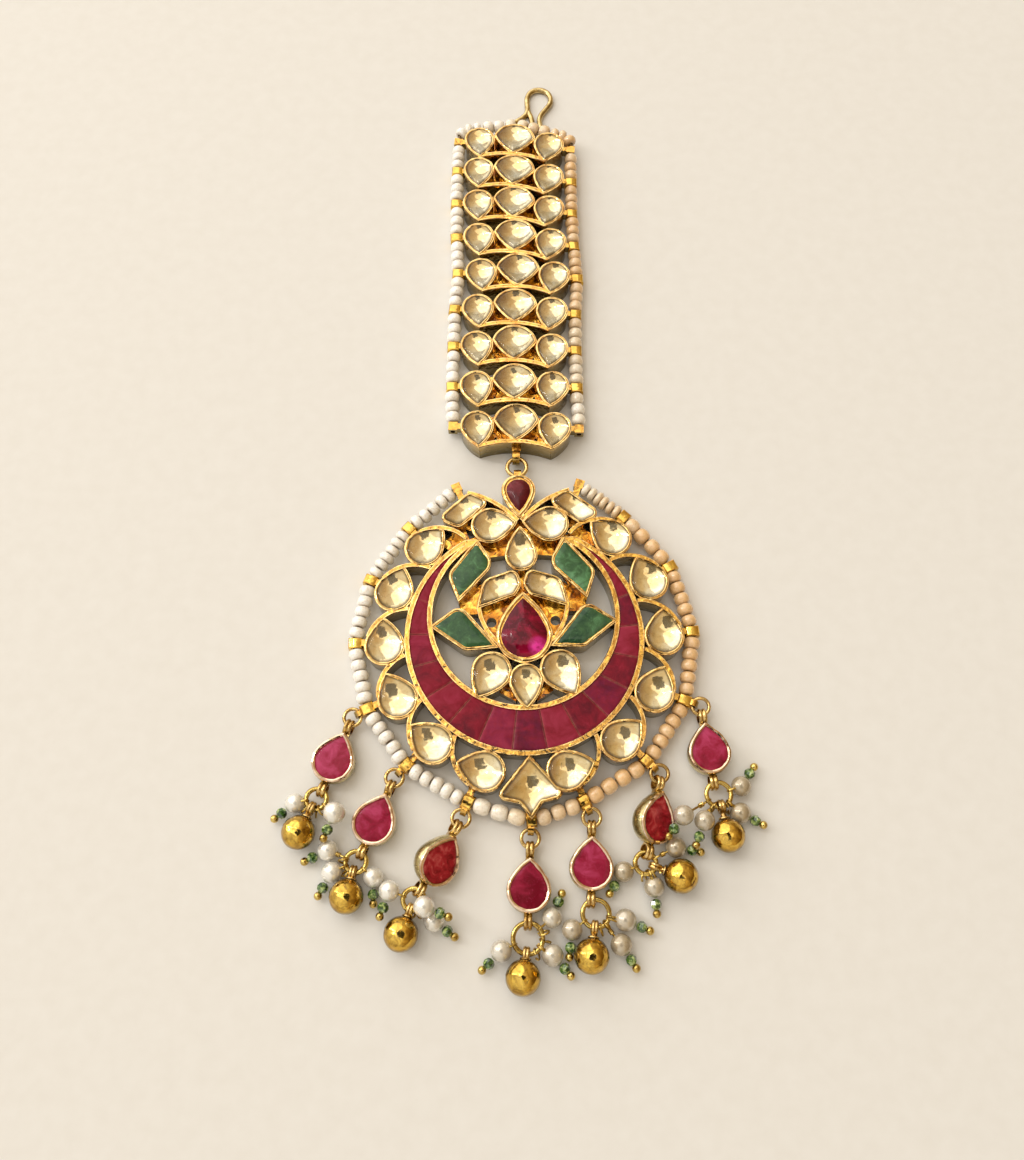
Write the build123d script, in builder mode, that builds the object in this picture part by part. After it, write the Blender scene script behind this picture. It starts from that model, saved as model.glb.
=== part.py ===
"""Kundan maang tikka, lying face up with its band stretched out.

A forehead ornament: a hook, a band of nine strung gold plates, a crescent pendant set with stones
and seven drops with bells and pearls. Millimetres. The back lies on z = 0 and the origin is the
middle of the pendant. +Y runs up the band to the hook, +Z is the face with the stones.
"""
import os
from collections import namedtuple
from math import acos, atan2, cos, degrees, radians, sin, sqrt

from build123d import *

# ---- Casings and stones -----------------------------------------------------------------------
RIM_TOP = 4.2  # top of the gold rims
SEAT = 2.4  # floor that the stones stand on
WEB_TOP = 2.2  # top of the recessed plates between casings
WALL = 0.5  # thickness of a casing's rim
COLLAR_WALL = 0.75  # thicker rim round the two pear rubies of the pendant
GAP = 0.05  # clearance round every stone
STONE_RISE = 0.35  # how far a stone stands over its rim
STONE_BEVEL = 0.3  # bevel round a stone's table
PEAR_BOW = 15  # degrees that a pear's flanks leave its round end past the straight tangent

# ---- Beads, tubes and wire --------------------------------------------------------------------
BEAD_RADIUS = 1.25
BEAD_NECK = 0.75  # radius of a bead's end faces
BEAD_GAP = 0.08  # between two beads on the thread
TUBE_CLEARANCE = 0.15  # between a tube's end and the next bead
THREAD_RADIUS = 0.15
TUBE = 1.5  # side of a square thread tube
TUBE_HOLE = 0.4  # radius of its hole
STRING_Z = 1.85  # height of the tubes, threads and jump rings
WIRE = 0.28  # radius of the jump rings' wire

# ---- Band -------------------------------------------------------------------------------------
BAND_PEAR_OUT = 6.45  # side stones' distance from the row's middle
BAND_PEAR_WIDTH = 4.3
BAND_PEAR_LENGTH = 5.5
BAND_PEAR_LEAN = 7  # degrees that the side stones' tips lean inward
EYE_OUT = 3.15  # corners of the middle stone, a pointed eye with its arch up
EYE_UP = 1.2
EYE_TOP = 3.6
EYE_BOTTOM = -2.0
BAND_WEB = [(-6.1, -3.7), (0, -2.7), (6.1, -3.7), (6.45, 2.2), (1.5, 3.2), (-1.5, 3.2), (-6.45, 2.2)]
BAND_SCALLOP = [(5.95, -3.75), (3.1, -2.95), (0, -2.7)]  # wall from a side stone's tip to the middle
BAND_HOLES = [(-3.35, -1.75), (3.35, -1.75)]
BAND_HOLE = 0.75  # radius round a three-cornered hole
BAND_TUBE_OUT = 10.6
BAND_NECK = 1.4
BAND_TUBE_UP = 0.7
BAND_BEADS = 3  # beads between two plates
BandRow = namedtuple("BandRow", "x y turn")
BAND_ROWS = [  # from the hook down to the pendant; turn in degrees
    BandRow(-1.5, 96.1, -5.0),
    BandRow(-1.6, 88.9, -7.0),
    BandRow(-1.6, 81.6, -6.0),
    BandRow(-1.4, 74.2, -5.0),
    BandRow(-0.9, 66.8, -3.0),
    BandRow(-1.4, 59.3, -2.8),
    BandRow(-1.5, 51.8, -2.4),
    BandRow(-1.5, 44.1, -0.6),
    BandRow(-1.25, 36.3, -1.4),
]

# ---- Pendant, in its own frame: the crescent's middle is the origin and +Y its axis -----------
PENDANT_LEAN = 2.0  # degrees that the pendant lies turned
CRESCENT_RADIUS = 17.7
CRESCENT_INNER_RADIUS = 14.9
CRESCENT_INNER_UP = 3.35  # middle of the inner circle over the outer one's
CRESCENT_HORN_Y = 15.5
CRESCENT_WALL = 0.65
SEAM_FIRST = 177  # direction of the first cut between crescent rubies
SEAM_PITCH = 17
SEAM_COUNT = 13
SEAM_WIDTH = 0.06
RING_PEAR_AT = 21.5  # outer pears' distance from the middle
RING_PEAR_WIDTH = 4.9
RING_PEAR_LENGTH = 6.25
RING_PEARS = 6  # outer pears on each side
RingSide = namedtuple("RingSide", "side first pitch beads")
RING_SIDES = [  # first: angle from the pendant's foot; beads: counts from the foot to the top
    RingSide(-1, 17.9, 23.3, (3, 5, 5, 5, 5, 6, 5)),
    RingSide(1, 14.6, 24.5, (3, 4, 5, 5, 5, 4, 6)),
]
TUBE_AT = 26.4  # rim tubes' distance from the middle
FOOT_TUBE_AT = 27.7
TOP_TUBE_AT = 28.1
TOP_TUBE_ANGLE = 159
NECK = 2.2  # length of the neck between a casing and its tube
NECK_WIDTH = 1.0
NECK_DEPTH = 1.4
TOP_NECK = 3.7  # the same for the two tubes beside the connector
TUBE_LEAD = 2.8  # degrees that a rim tube sits ahead of its pear
Fin = namedtuple("Fin", "radius lead")
FIN_POINTS = [Fin(18.6, 18), Fin(21.8, 13), Fin(24.0, 4)]  # leaf wall round an outer pear's tip
PearSeat = namedtuple("PearSeat", "x y heading width length")
INNER_PEARS = [  # the right-hand ones of each pair; x = 0 stands alone
    PearSeat(4.8, 18.6, 174, 4.8, 6.1),  # shoulders under the connector
    PearSeat(0.0, 13.3, 90, 3.9, 6.1),  # small pear over the petals
    PearSeat(5.2, -5.4, -60, 4.9, 6.5),  # lower pair
    PearSeat(0.0, -7.0, -90, 4.0, 5.7),  # lower middle
]
TOP_RUBY = PearSeat(0.0, 24.65, -90, 3.7, 5.5)
CENTRE_RUBY = PearSeat(0.0, 0.1, 90, 6.9, 9.4)
Corner = namedtuple("Corner", "x y rounding")
PETAL = [  # curved kundan petal over the centre ruby
    Corner(6.4, 5.5, 0.0),
    Corner(5.6, 8.9, 1.6),
    Corner(1.3, 10.3, 0.6),
    Corner(0.75, 8.5, 0.5),
    Corner(1.5, 7.2, 0.4),
]
RHOMBOID = [
    Corner(5.6, 22.6, 0.4), Corner(7.9, 23.9, 0.8), Corner(12.2, 20.2, 0.5), Corner(9.8, 19.0, 0.8),
]
UPPER_LEAF = [
    Corner(7.0, 15.3, 0.0), Corner(5.0, 12.0, 1.6), Corner(9.8, 7.0, 0.0), Corner(11.0, 10.3, 1.4),
]
LOWER_LEAF = [
    Corner(13.5, 2.0, 0.0), Corner(9.9, 4.6, 1.2), Corner(5.2, -1.2, 0.0), Corner(9.0, -1.4, 1.2),
]
KITE = [  # ogee stone at the pendant's foot
    Corner(0.0, -19.2, 0.0),
    Corner(4.2, -24.1, 0.3),
    Corner(1.3, -24.7, 1.4),
    Corner(0.0, -26.5, 0.0),
    Corner(-1.3, -24.7, 1.4),
    Corner(-4.2, -24.1, 0.3),
]
WING_WALL = [(8.2, 24.5), (4.6, 23.0), (0.3, 19.4)]  # over the rhomboid to the middle
HEART_WALL = [(6.9, 5.2), (6.1, 1.9), (4.0, -0.9)]  # from a petal's corner to the ruby's collar
WEBS = [  # recessed plates of the right half, each with a twin on the left
    [(0.0, 9.5), (0.0, -0.9), (4.2, -0.9), (6.9, 5.2), (1.5, 9.5)],  # between petals and collar
    [(8.2, 24.4), (0.3, 19.4), (4.0, 17.0), (9.0, 19.0)],  # under the wing
    [(0.4, 19.2), (8.6, 17.0), (8.4, 16.4), (5.6, 13.8), (1.6, 14.2)],  # beside the small pear
    [(9.8, 7.2), (6.0, 9.6), (6.4, 4.4), (9.9, 4.4)],  # between petal and leaves
    [(8.0, 16.6), (9.0, 19.4), (12.8, 16.4), (10.6, 14.6)],  # behind the horn
    [(2.6, -3.0), (1.6, -9.8), (5.6, -7.4), (5.0, -3.0)],  # between the lower pears
]
HEART_HOLE = 0.8  # radius of the pierced holes beside the collar
HEART_HOLES = [(-5.0, 2.9), (5.0, 2.9)]
SOLDER = [(0.0, 10.6), (0.0, 20.2)]  # over the petals and under the top ruby

# ---- Drops ------------------------------------------------------------------------------------
SETTING_WIDTH = 6.3
SETTING_LENGTH = 7.7
SETTING_DEPTH = 2.9
SETTING_WALL = 0.45
SETTING_SEAT = 1.4  # depth of the ruby's seat
RUBY_SUNK = 0.1  # how far the ruby lies under its rim
SETTING_BEVEL = 1.0  # rounded-off edge of the setting's back
SETTING_Z = 1.5  # height of a flat-lying setting's middle
ROLLED_Z = 2.25  # the same for one that lies rolled on its side
STRAP_HOLE = 0.9
STRAP_RADIUS = 1.2
STRAP_WIDTH = 1.2
STRAP_PLAY = 0.15  # how far the ring's wire hangs off the strap's middle
JUMP_RING = 1.3  # radius of the upper rings
RING_LIFT = 0.28  # how far a ring stands up that holds a rolled setting
TUBE_EYE_OUT = 1.1  # from a rim tube's middle to its eye
TUBE_EYE_HOLE = 0.6
TUBE_EYE_RADIUS = 0.9
TUBE_EYE_WIDTH = 0.9
BELL_RADIUS = 2.5
BELL_LOOP = 0.8  # radius of the loop that joins a bell to its ring
BELL_LOOP_WIRE = 0.22
BELL_LOOP_Z = 1.95
BELL_NECK = 0.5
PIN_RADIUS = 0.2
GLASS_BEAD_RADIUS = 0.75
PIN_BALL_RADIUS = 0.6
GLASS_BEAD_AT = 0.9  # glass bead's distance past the pearl's skin
PIN_BALL_AT = 2.2  # end ball's distance past the pearl's skin
PIN_DROOP = 0.12  # how much a pin dips along its length
LINK_SHORTEST = 0.15  # shorter wire links than this are left out
Drop = namedtuple("Drop", "side tube ring_to setting_to roll ring2_to ring2 bell_to bell_reach")
DROPS = [  # directions in degrees from +X; tube counts from the foot; ring2: the lower ring's radius
    Drop(-1, 3, -150, -110, 0, -120, 1.5, -114, 5.3),
    Drop(-1, 2, -135, -112, 0, -120, 1.5, -102, 4.9),
    Drop(-1, 1, -112, -120, -24, -120, 1.5, -109, 4.9),
    Drop(0, 0, -95, -92, 0, -90, 2.1, -98, 5.2),
    Drop(1, 1, -65, -92, 0, -70, 1.9, -98, 5.7),
    Drop(1, 2, -45, -102, -22, -99, 1.5, -20, 5.3),
    Drop(1, 3, -20, -84, 0, -70, 1.8, -82, 6.0),
]
Pin = namedtuple("Pin", "drop x y z heading pearl")
PINS = [  # pearl's place, the pin's direction and the pearl's width
    Pin(1, -33.9, -25.0, 1.6, -144, 3.0),
    Pin(1, -27.7, -26.6, 3.5, -112, 3.3),
    Pin(2, -27.9, -34.8, 1.6, -120, 3.1),
    Pin(2, -28.7, -31.7, 1.6, -155, 3.0),
    Pin(2, -21.9, -35.5, 1.6, -88, 2.9),
    Pin(3, -19.4, -37.4, 2.6, -110, 3.0),
    Pin(3, -14.2, -39.6, 4.6, -22, 3.0),
    Pin(3, -13.0, -41.5, 1.6, -35, 2.9),
    Pin(4, -3.4, -45.4, 1.6, -137, 3.1),
    Pin(4, 3.8, -46.0, 1.6, -47, 3.1),
    Pin(4, 3.8, -41.0, 1.6, 66, 2.9),
    Pin(5, 6.6, -42.6, 1.6, -97, 3.0),
    Pin(5, 14.2, -41.3, 1.7, -23, 3.2),
    Pin(5, 13.5, -44.6, 1.6, -57, 3.1),
    Pin(6, 14.2, -34.7, 1.6, -125, 3.0),
    Pin(6, 18.5, -36.8, 1.6, -86, 3.0),
    Pin(6, 21.9, -31.3, 1.6, -10, 3.1),
    Pin(7, 32.1, -22.5, 1.6, 52, 3.0),
    Pin(7, 31.7, -26.4, 1.6, -27, 3.1),
    Pin(7, 22.9, -27.0, 4.1, -128, 3.0),
    Pin(7, 26.0, -27.7, 3.4, -112, 3.0),
]

# ---- Hook and connector -----------------------------------------------------------------------
HOOK_WIRE = 0.52
HOOK_Z = 0.52
HOOK_LOOP = [  # the long leg, the keyhole eye and the strand that bends back to a blunt end
    (3.7, 99.9), (3.7, 102.3), (3.45, 105.3), (4.5, 107.3), (5.6, 109.6), (5.0, 111.5), (3.2, 112.3),
    (1.6, 111.5), (1.0, 109.6), (0.95, 106.6), (-0.4, 104.9), (-1.9, 103.6), (-2.3, 102.3), (-1.4, 101.3),
    (0.0, 101.4),
]
HOOK_LEG = [(1.25, 106.7), (1.8, 105.2), (2.05, 102.8), (2.2, 99.9)]  # short leg, soldered on
TOP_STRING_Z = 2.4
TopString = namedtuple("TopString", "x y beads")
TOP_STRING = [  # bends of the string over the first plate and the beads up to each
    TopString(-10.6, 1.8, 0),
    TopString(-9.7, 3.4, 1),
    TopString(-6.5, 4.2, 2),
    TopString(0.0, 5.6, 3),
    TopString(6.5, 4.2, 3),
    TopString(9.7, 3.4, 2),
    TopString(10.6, 1.8, 1),
]
CONNECTOR_X = -1.1
CONNECTOR_Y = 29.85
CONNECTOR_RADIUS = 1.6
CONNECTOR_WIRE = 0.35


def polar(radius, angle):
    """Point at a distance and an angle in degrees from the origin."""
    return (radius * cos(radians(angle)), radius * sin(radians(angle)))


def shifted(point, distance, heading):
    """Point moved level by a distance along a heading in degrees."""
    step_x, step_y = polar(distance, heading)
    return (point[0] + step_x, point[1] + step_y)


def pear(width, length):
    """Pear outline about the middle of its round end, tip along +X."""
    radius = width / 2
    tip = length - radius
    join = acos(radius / tip) + radians(PEAR_BOW)
    upper = (radius * cos(join), radius * sin(join))
    lower = (upper[0], -upper[1])
    with BuildSketch(mode=Mode.PRIVATE) as outline:
        with BuildLine():
            ThreePointArc(upper, (-radius, 0), lower)
            TangentArc(lower, (tip, 0), tangent=(sin(join), cos(join)))
            TangentArc(upper, (tip, 0), tangent=(sin(join), -cos(join)))
        make_face()
    return outline.sketch


def pear_at(seat, side=1):
    """Pear outline at its seat; side -1 gives its mirror image across the axis."""
    heading = seat.heading if side > 0 else 180 - seat.heading
    with BuildSketch(mode=Mode.PRIVATE) as outline:
        with Locations(Location((side * seat.x, seat.y), heading)):
            add(pear(seat.width, seat.length))
    return outline.sketch


def cornered(corners, side=1):
    """Straight-sided outline with each corner rounded by its own radius."""
    points = [(side * corner.x, corner.y) for corner in corners]
    with BuildSketch(mode=Mode.PRIVATE) as outline:
        with BuildLine():
            Polyline(*points, close=True)
        make_face()
        for corner, point in zip(corners, points):
            if corner.rounding > 0:
                fillet(outline.vertices().sort_by_distance((*point, 0))[0], corner.rounding)
    return outline.sketch


def mirrored_pears(seats):
    """Outlines of the seats, with a twin across the axis for each one off it."""
    outlines = []
    for seat in seats:
        outlines += [pear_at(seat, side) for side in ((1, -1) if seat.x else (1,))]
    return outlines


def grown(outline, amount):
    """Outline moved outward, its points kept sharp."""
    return offset(outline, amount=amount, kind=Kind.INTERSECTION, mode=Mode.PRIVATE)


def bead_run(start, end, count, inset):
    """Beads on a straight stretch of thread between two points, as one solid of revolution."""
    span = Vector(*end) - Vector(*start)
    length = span.length
    pitch = (length - 2 * inset) / count
    with BuildPart(mode=Mode.PRIVATE) as run:
        with BuildSketch(Plane(origin=start, x_dir=span, z_dir=span.cross(Vector(0, 0, 1)))):
            with BuildLine():
                Line((GAP, 0), (GAP, THREAD_RADIUS))
                here = GAP
                for index in range(count):
                    first = inset + index * pitch + BEAD_GAP / 2
                    last = first + pitch - BEAD_GAP
                    Line((here, THREAD_RADIUS), (first, THREAD_RADIUS))
                    Line((first, THREAD_RADIUS), (first, BEAD_NECK))
                    ThreePointArc((first, BEAD_NECK), ((first + last) / 2, BEAD_RADIUS), (last, BEAD_NECK))
                    Line((last, BEAD_NECK), (last, THREAD_RADIUS))
                    here = last
                Line((here, THREAD_RADIUS), (length - GAP, THREAD_RADIUS))
                Line((length - GAP, THREAD_RADIUS), (length - GAP, 0))
                Line((length - GAP, 0), (GAP, 0))
            make_face()
        revolve(axis=Axis(start, span))
    return run.part


def strap(hole, radius, width):
    """Flat strap bent into a loop, its hole running level across +X."""
    with BuildPart(mode=Mode.PRIVATE) as loop:
        with BuildSketch(Plane.XZ):
            Circle(radius)
            Circle(hole, mode=Mode.SUBTRACT)
        extrude(amount=width / 2, both=True)
    return loop.part


def rod(start, end, radius):
    """Round rod between two points."""
    span = Vector(*end) - Vector(*start)
    with BuildPart(mode=Mode.PRIVATE) as bar:
        with BuildSketch(Plane(origin=start, z_dir=span)):
            Circle(radius)
        extrude(amount=span.length)
    return bar.part


def wire_link(ring_middle, ring_radius, ring_level, pin):
    """Wire from a lower ring to a pearl, or None where the pearl sits against the ring."""
    away = degrees(atan2(pin.y - ring_middle[1], pin.x - ring_middle[0]))
    start = Vector(*shifted(ring_middle, ring_radius + WIRE + 2 * GAP, away), ring_level)
    span = Vector(pin.x, pin.y, pin.z) - start
    length = span.length - pin.pearl / 2 - GAP
    if length < LINK_SHORTEST:
        return None
    return rod(tuple(start), tuple(start + span.normalized() * length), PIN_RADIUS)


def head_pin(pin):
    """Pearl, glass bead and end ball in a row on their pin, as one solid of revolution."""
    pearl = pin.pearl / 2
    glass_at = pearl + GLASS_BEAD_AT
    ball_at = pearl + PIN_BALL_AT
    pearl_end = sqrt(pearl**2 - PIN_RADIUS**2)
    glass_half = sqrt(GLASS_BEAD_RADIUS**2 - PIN_RADIUS**2)
    ball_half = sqrt(PIN_BALL_RADIUS**2 - PIN_RADIUS**2)
    direction = Vector(*polar(1, pin.heading), -PIN_DROOP)
    side = Vector(*polar(1, pin.heading + 90), 0)
    origin = (pin.x, pin.y, pin.z)
    with BuildPart(mode=Mode.PRIVATE) as whole:
        with BuildSketch(Plane(origin=origin, x_dir=direction, z_dir=direction.cross(side))):
            with BuildLine():
                ThreePointArc((-pearl, 0), (0, pearl), (pearl_end, PIN_RADIUS))
                Line((pearl_end, PIN_RADIUS), (glass_at - glass_half, PIN_RADIUS))
                ThreePointArc(
                    (glass_at - glass_half, PIN_RADIUS), (glass_at, GLASS_BEAD_RADIUS),
                    (glass_at + glass_half, PIN_RADIUS),
                )
                Line((glass_at + glass_half, PIN_RADIUS), (ball_at - ball_half, PIN_RADIUS))
                ThreePointArc(
                    (ball_at - ball_half, PIN_RADIUS), (ball_at, PIN_BALL_RADIUS),
                    (ball_at + PIN_BALL_RADIUS, 0),
                )
                Line((ball_at + PIN_BALL_RADIUS, 0), (-pearl, 0))
            make_face()
        revolve(axis=Axis(origin, direction))
    return whole.part


os.makedirs("parts", exist_ok=True)

# ================================ Band ==========================================================
row_planes = [Plane(origin=(row.x, row.y, 0), x_dir=(*polar(1, row.turn), 0)) for row in BAND_ROWS]
band_pears = mirrored_pears(
    [PearSeat(BAND_PEAR_OUT, 0, -90 - BAND_PEAR_LEAN, BAND_PEAR_WIDTH, BAND_PEAR_LENGTH)]
)
with BuildSketch(mode=Mode.PRIVATE) as eye:
    with BuildLine():
        ThreePointArc((-EYE_OUT, EYE_UP), (0, EYE_TOP), (EYE_OUT, EYE_UP))
        ThreePointArc((EYE_OUT, EYE_UP), (1.8, -0.6), (0, EYE_BOTTOM))
        ThreePointArc((0, EYE_BOTTOM), (-1.8, -0.6), (-EYE_OUT, EYE_UP))
    make_face()
band_outlines = band_pears + [eye.sketch]

for number, row_plane in enumerate(row_planes, start=1):
    with BuildPart(row_plane) as band_plate:
        with BuildSketch(row_plane):
            for outline in band_outlines:
                add(grown(outline, GAP + WALL))
            for side in (-1, 1):
                with BuildLine(mode=Mode.PRIVATE) as scallop:
                    ThreePointArc(*[(side * x, y) for x, y in BAND_SCALLOP])
                trace(scallop.line, line_width=WALL)
        extrude(amount=RIM_TOP)
        with BuildSketch(row_plane):
            with BuildLine():
                Polyline(*BAND_WEB, close=True)
            make_face()
        extrude(amount=WEB_TOP)
        with Locations(*[(side * (BAND_TUBE_OUT - 1.4), BAND_TUBE_UP, STRING_Z) for side in (-1, 1)]):
            Box(BAND_NECK, NECK_WIDTH, NECK_DEPTH)  # between casing and tube
        with BuildSketch(row_plane.offset(SEAT)):
            for outline in band_outlines:
                add(grown(outline, GAP))
        extrude(amount=RIM_TOP, mode=Mode.SUBTRACT)
        with BuildSketch(row_plane):
            with Locations(*BAND_HOLES):
                RegularPolygon(BAND_HOLE, 3, rotation=90)
        extrude(amount=RIM_TOP, mode=Mode.SUBTRACT)
        with Locations(*[(side * BAND_TUBE_OUT, BAND_TUBE_UP, STRING_Z) for side in (-1, 1)]):
            Box(TUBE, TUBE, TUBE)
            Cylinder(TUBE_HOLE, TUBE + 0.2, rotation=(90, 0, 0), mode=Mode.SUBTRACT)
        if number == len(row_planes):  # stem and eye that carry the pendant
            stem_x = CONNECTOR_X - BAND_ROWS[-1].x
            eye_y = CONNECTOR_Y + CONNECTOR_RADIUS + STRAP_PLAY - BAND_ROWS[-1].y
            stem_end = BAND_SCALLOP[-1][1]
            with Locations((stem_x, (eye_y + STRAP_HOLE + stem_end) / 2, STRING_Z)):
                Box(1.5, stem_end - eye_y - STRAP_HOLE, 1.8)
            with Locations(Location((stem_x, eye_y, STRING_Z), (0, 0, 90))):
                add(strap(STRAP_HOLE, STRAP_RADIUS, STRAP_WIDTH))
    band_plate.part.label = f"band_plate_{number}"
    export_step(band_plate.part, f"parts/band_plate_{number}.step")

    with BuildPart() as band_stones:
        with BuildSketch(row_plane.offset(SEAT + GAP)):
            for outline in band_outlines:
                add(outline)
        extrude(amount=RIM_TOP + STONE_RISE - SEAT)
        chamfer(band_stones.edges().group_by(Axis.Z)[-1], STONE_BEVEL)
    band_stones.part.label = f"band_stones_{number}"
    export_step(band_stones.part, f"parts/band_stones_{number}.step")

for side, side_name in ((-1, "left"), (1, "right")):
    tube = Vector(side * BAND_TUBE_OUT, BAND_TUBE_UP, STRING_Z)
    tubes = [row_plane.from_local_coords(tube) for row_plane in row_planes]
    runs = [
        bead_run(upper, lower, BAND_BEADS, TUBE / 2 + TUBE_CLEARANCE)
        for upper, lower in zip(tubes, tubes[1:])
    ]
    with BuildPart() as bead_string:
        for run in runs:
            add(run)
    bead_string.part.label = f"bead_string_{side_name}"
    export_step(bead_string.part, f"parts/bead_string_{side_name}.step")

stations = [row_planes[0].from_local_coords(Vector(x, y, TOP_STRING_Z)) for x, y, _ in TOP_STRING]
runs = [
    bead_run(start, end, beads, 2 * GAP)
    for start, end, (_, _, beads) in zip(stations, stations[1:], TOP_STRING[1:])
]
with BuildPart() as bead_string_top:
    for run in runs:
        add(run)
bead_string_top.part.label = "bead_string_top"
export_step(bead_string_top.part, "parts/bead_string_top.step")

# ================================ Hook and connector ============================================
with BuildPart() as hook:
    for route in (HOOK_LOOP, HOOK_LEG):
        with BuildLine() as wire:
            Spline(*[(x, y, HOOK_Z) for x, y in route])
        with BuildSketch(Plane(origin=wire.line @ 0, z_dir=wire.line % 0)):
            Circle(HOOK_WIRE)
        sweep(path=wire.line)
hook.part.label = "hook"
export_step(hook.part, "parts/hook.step")

with BuildPart() as connector_ring:
    with Locations((CONNECTOR_X, CONNECTOR_Y, STRING_Z)):
        Torus(CONNECTOR_RADIUS, CONNECTOR_WIRE)
connector_ring.part.label = "connector_ring"
export_step(connector_ring.part, "parts/connector_ring.step")

# ================================ Pendant =======================================================
pendant_plane = Plane(origin=(0, 0, 0), x_dir=(*polar(1, PENDANT_LEAN), 0))


def crescent(growth):
    """Crescent between two circles, open at the top, grown by a rim's thickness."""
    above_horns = CRESCENT_HORN_Y + growth + CRESCENT_RADIUS / 2
    with BuildSketch(mode=Mode.PRIVATE) as outline:
        Circle(CRESCENT_RADIUS + growth)
        with Locations((0, CRESCENT_INNER_UP)):
            Circle(CRESCENT_INNER_RADIUS - growth, mode=Mode.SUBTRACT)
        with Locations((0, above_horns)):
            Rectangle(3 * CRESCENT_RADIUS, CRESCENT_RADIUS, mode=Mode.SUBTRACT)
    return outline.sketch


def foot_angle(ring_side, angle):
    """Polar angle in the pendant's frame of a place counted from the foot on one side."""
    return 270 + ring_side * angle


ring_pears = []
pear_places = []
fins = []
rim_tubes = {(0, 0): polar(FOOT_TUBE_AT, 270)}
for ring in RING_SIDES:
    for index in range(RING_PEARS):
        from_foot = ring.first + ring.pitch * index
        x, y = polar(RING_PEAR_AT, foot_angle(ring.side, from_foot))
        heading = foot_angle(ring.side, from_foot) + ring.side * 90
        with BuildSketch(mode=Mode.PRIVATE) as outline:
            with Locations(Location((x, y), heading)):
                add(pear(RING_PEAR_WIDTH, RING_PEAR_LENGTH))
        ring_pears.append(outline.sketch)
        pear_places.append(Location((x, y), foot_angle(ring.side, from_foot)))
        fins.append([polar(fin.radius, foot_angle(ring.side, from_foot + fin.lead)) for fin in FIN_POINTS])
        tube_angle = foot_angle(ring.side, from_foot + TUBE_LEAD)
        rim_tubes[(ring.side, index + 1)] = polar(TUBE_AT, tube_angle)
    rim_tubes[(ring.side, RING_PEARS + 1)] = polar(TOP_TUBE_AT, foot_angle(ring.side, TOP_TUBE_ANGLE))

rhomboids = [cornered(RHOMBOID, side) for side in (1, -1)]
outer_outlines = ring_pears + rhomboids + [cornered(KITE)]
petals = [cornered(PETAL, side) for side in (1, -1)]
inner_outlines = mirrored_pears(INNER_PEARS) + petals
leaves = [cornered(corners, side) for corners in (UPPER_LEAF, LOWER_LEAF) for side in (1, -1)]
thin_walled = outer_outlines + inner_outlines + leaves
thick_walled = [pear_at(TOP_RUBY), pear_at(CENTRE_RUBY)]
all_outlines = thin_walled + thick_walled

tube_places = {
    key: Location((x, y, STRING_Z), (0, 0, degrees(atan2(y, x)))) for key, (x, y) in rim_tubes.items()
}
drop_tubes = {number: rim_tubes[(drop.side, drop.tube)] for number, drop in enumerate(DROPS, start=1)}

with BuildPart(pendant_plane) as pendant_frame:
    with BuildSketch(pendant_plane):
        add(crescent(CRESCENT_WALL))
        for outline in thin_walled:
            add(grown(outline, GAP + WALL))
        for outline in thick_walled:
            add(grown(outline, GAP + COLLAR_WALL))
        for fin in fins:
            with BuildLine(mode=Mode.PRIVATE) as fin_wall:
                ThreePointArc(*fin)
            trace(fin_wall.line, line_width=WALL)
        for side in (-1, 1):
            for wall in (WING_WALL, HEART_WALL):
                with BuildLine(mode=Mode.PRIVATE) as inner_wall:
                    ThreePointArc(*[(side * x, y) for x, y in wall])
                trace(inner_wall.line, line_width=WALL)
    extrude(amount=RIM_TOP)
    with BuildSketch(pendant_plane):
        for side in (-1, 1):
            for corners in WEBS:
                with BuildLine():
                    Polyline(*[(side * x, y) for x, y in corners], close=True)
                make_face()
        with Locations(*SOLDER):
            Rectangle(1.5, 2.8)
        for place in pear_places:  # solder between crescent and outer casings
            with Locations(place * Location((-2.9, 0))):
                Rectangle(1.2, 2.0)
    extrude(amount=WEB_TOP)
    for (side, index), place in tube_places.items():  # necks from the casings to the rim tubes
        neck = TOP_NECK if index > RING_PEARS else NECK
        with Locations(place * Location((-neck / 2 - 0.2, 0, 0))):
            Box(neck, NECK_WIDTH, NECK_DEPTH)
    with BuildSketch(pendant_plane.offset(SEAT)):
        add(crescent(GAP))
        for outline in all_outlines:
            add(grown(outline, GAP))
    extrude(amount=RIM_TOP, mode=Mode.SUBTRACT)
    with BuildSketch(pendant_plane):
        with Locations(*HEART_HOLES):
            Circle(HEART_HOLE)
    extrude(amount=RIM_TOP, mode=Mode.SUBTRACT)
    for place in tube_places.values():
        with Locations(place):
            Box(TUBE, TUBE, TUBE)
            Cylinder(TUBE_HOLE, TUBE + 0.2, rotation=(90, 0, 0), mode=Mode.SUBTRACT)
    for number, (x, y) in drop_tubes.items():  # eyes that the drops' rings hang in
        heading = DROPS[number - 1].ring_to
        eye_x, eye_y = shifted(tuple(pendant_plane.from_local_coords(Vector(x, y))), TUBE_EYE_OUT, heading)
        local_eye = pendant_plane.to_local_coords(Vector(eye_x, eye_y, STRING_Z))
        with Locations(Location(local_eye, (0, 0, heading - PENDANT_LEAN))):
            add(strap(TUBE_EYE_HOLE, TUBE_EYE_RADIUS, TUBE_EYE_WIDTH))
    with Locations((0, TOP_RUBY.y + 3.45, STRING_Z)):
        add(strap(STRAP_HOLE, STRAP_RADIUS, STRAP_WIDTH), rotation=(0, 0, 90))
pendant_frame.part.label = "pendant_frame"
export_step(pendant_frame.part, "parts/pendant_frame.step")

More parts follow.
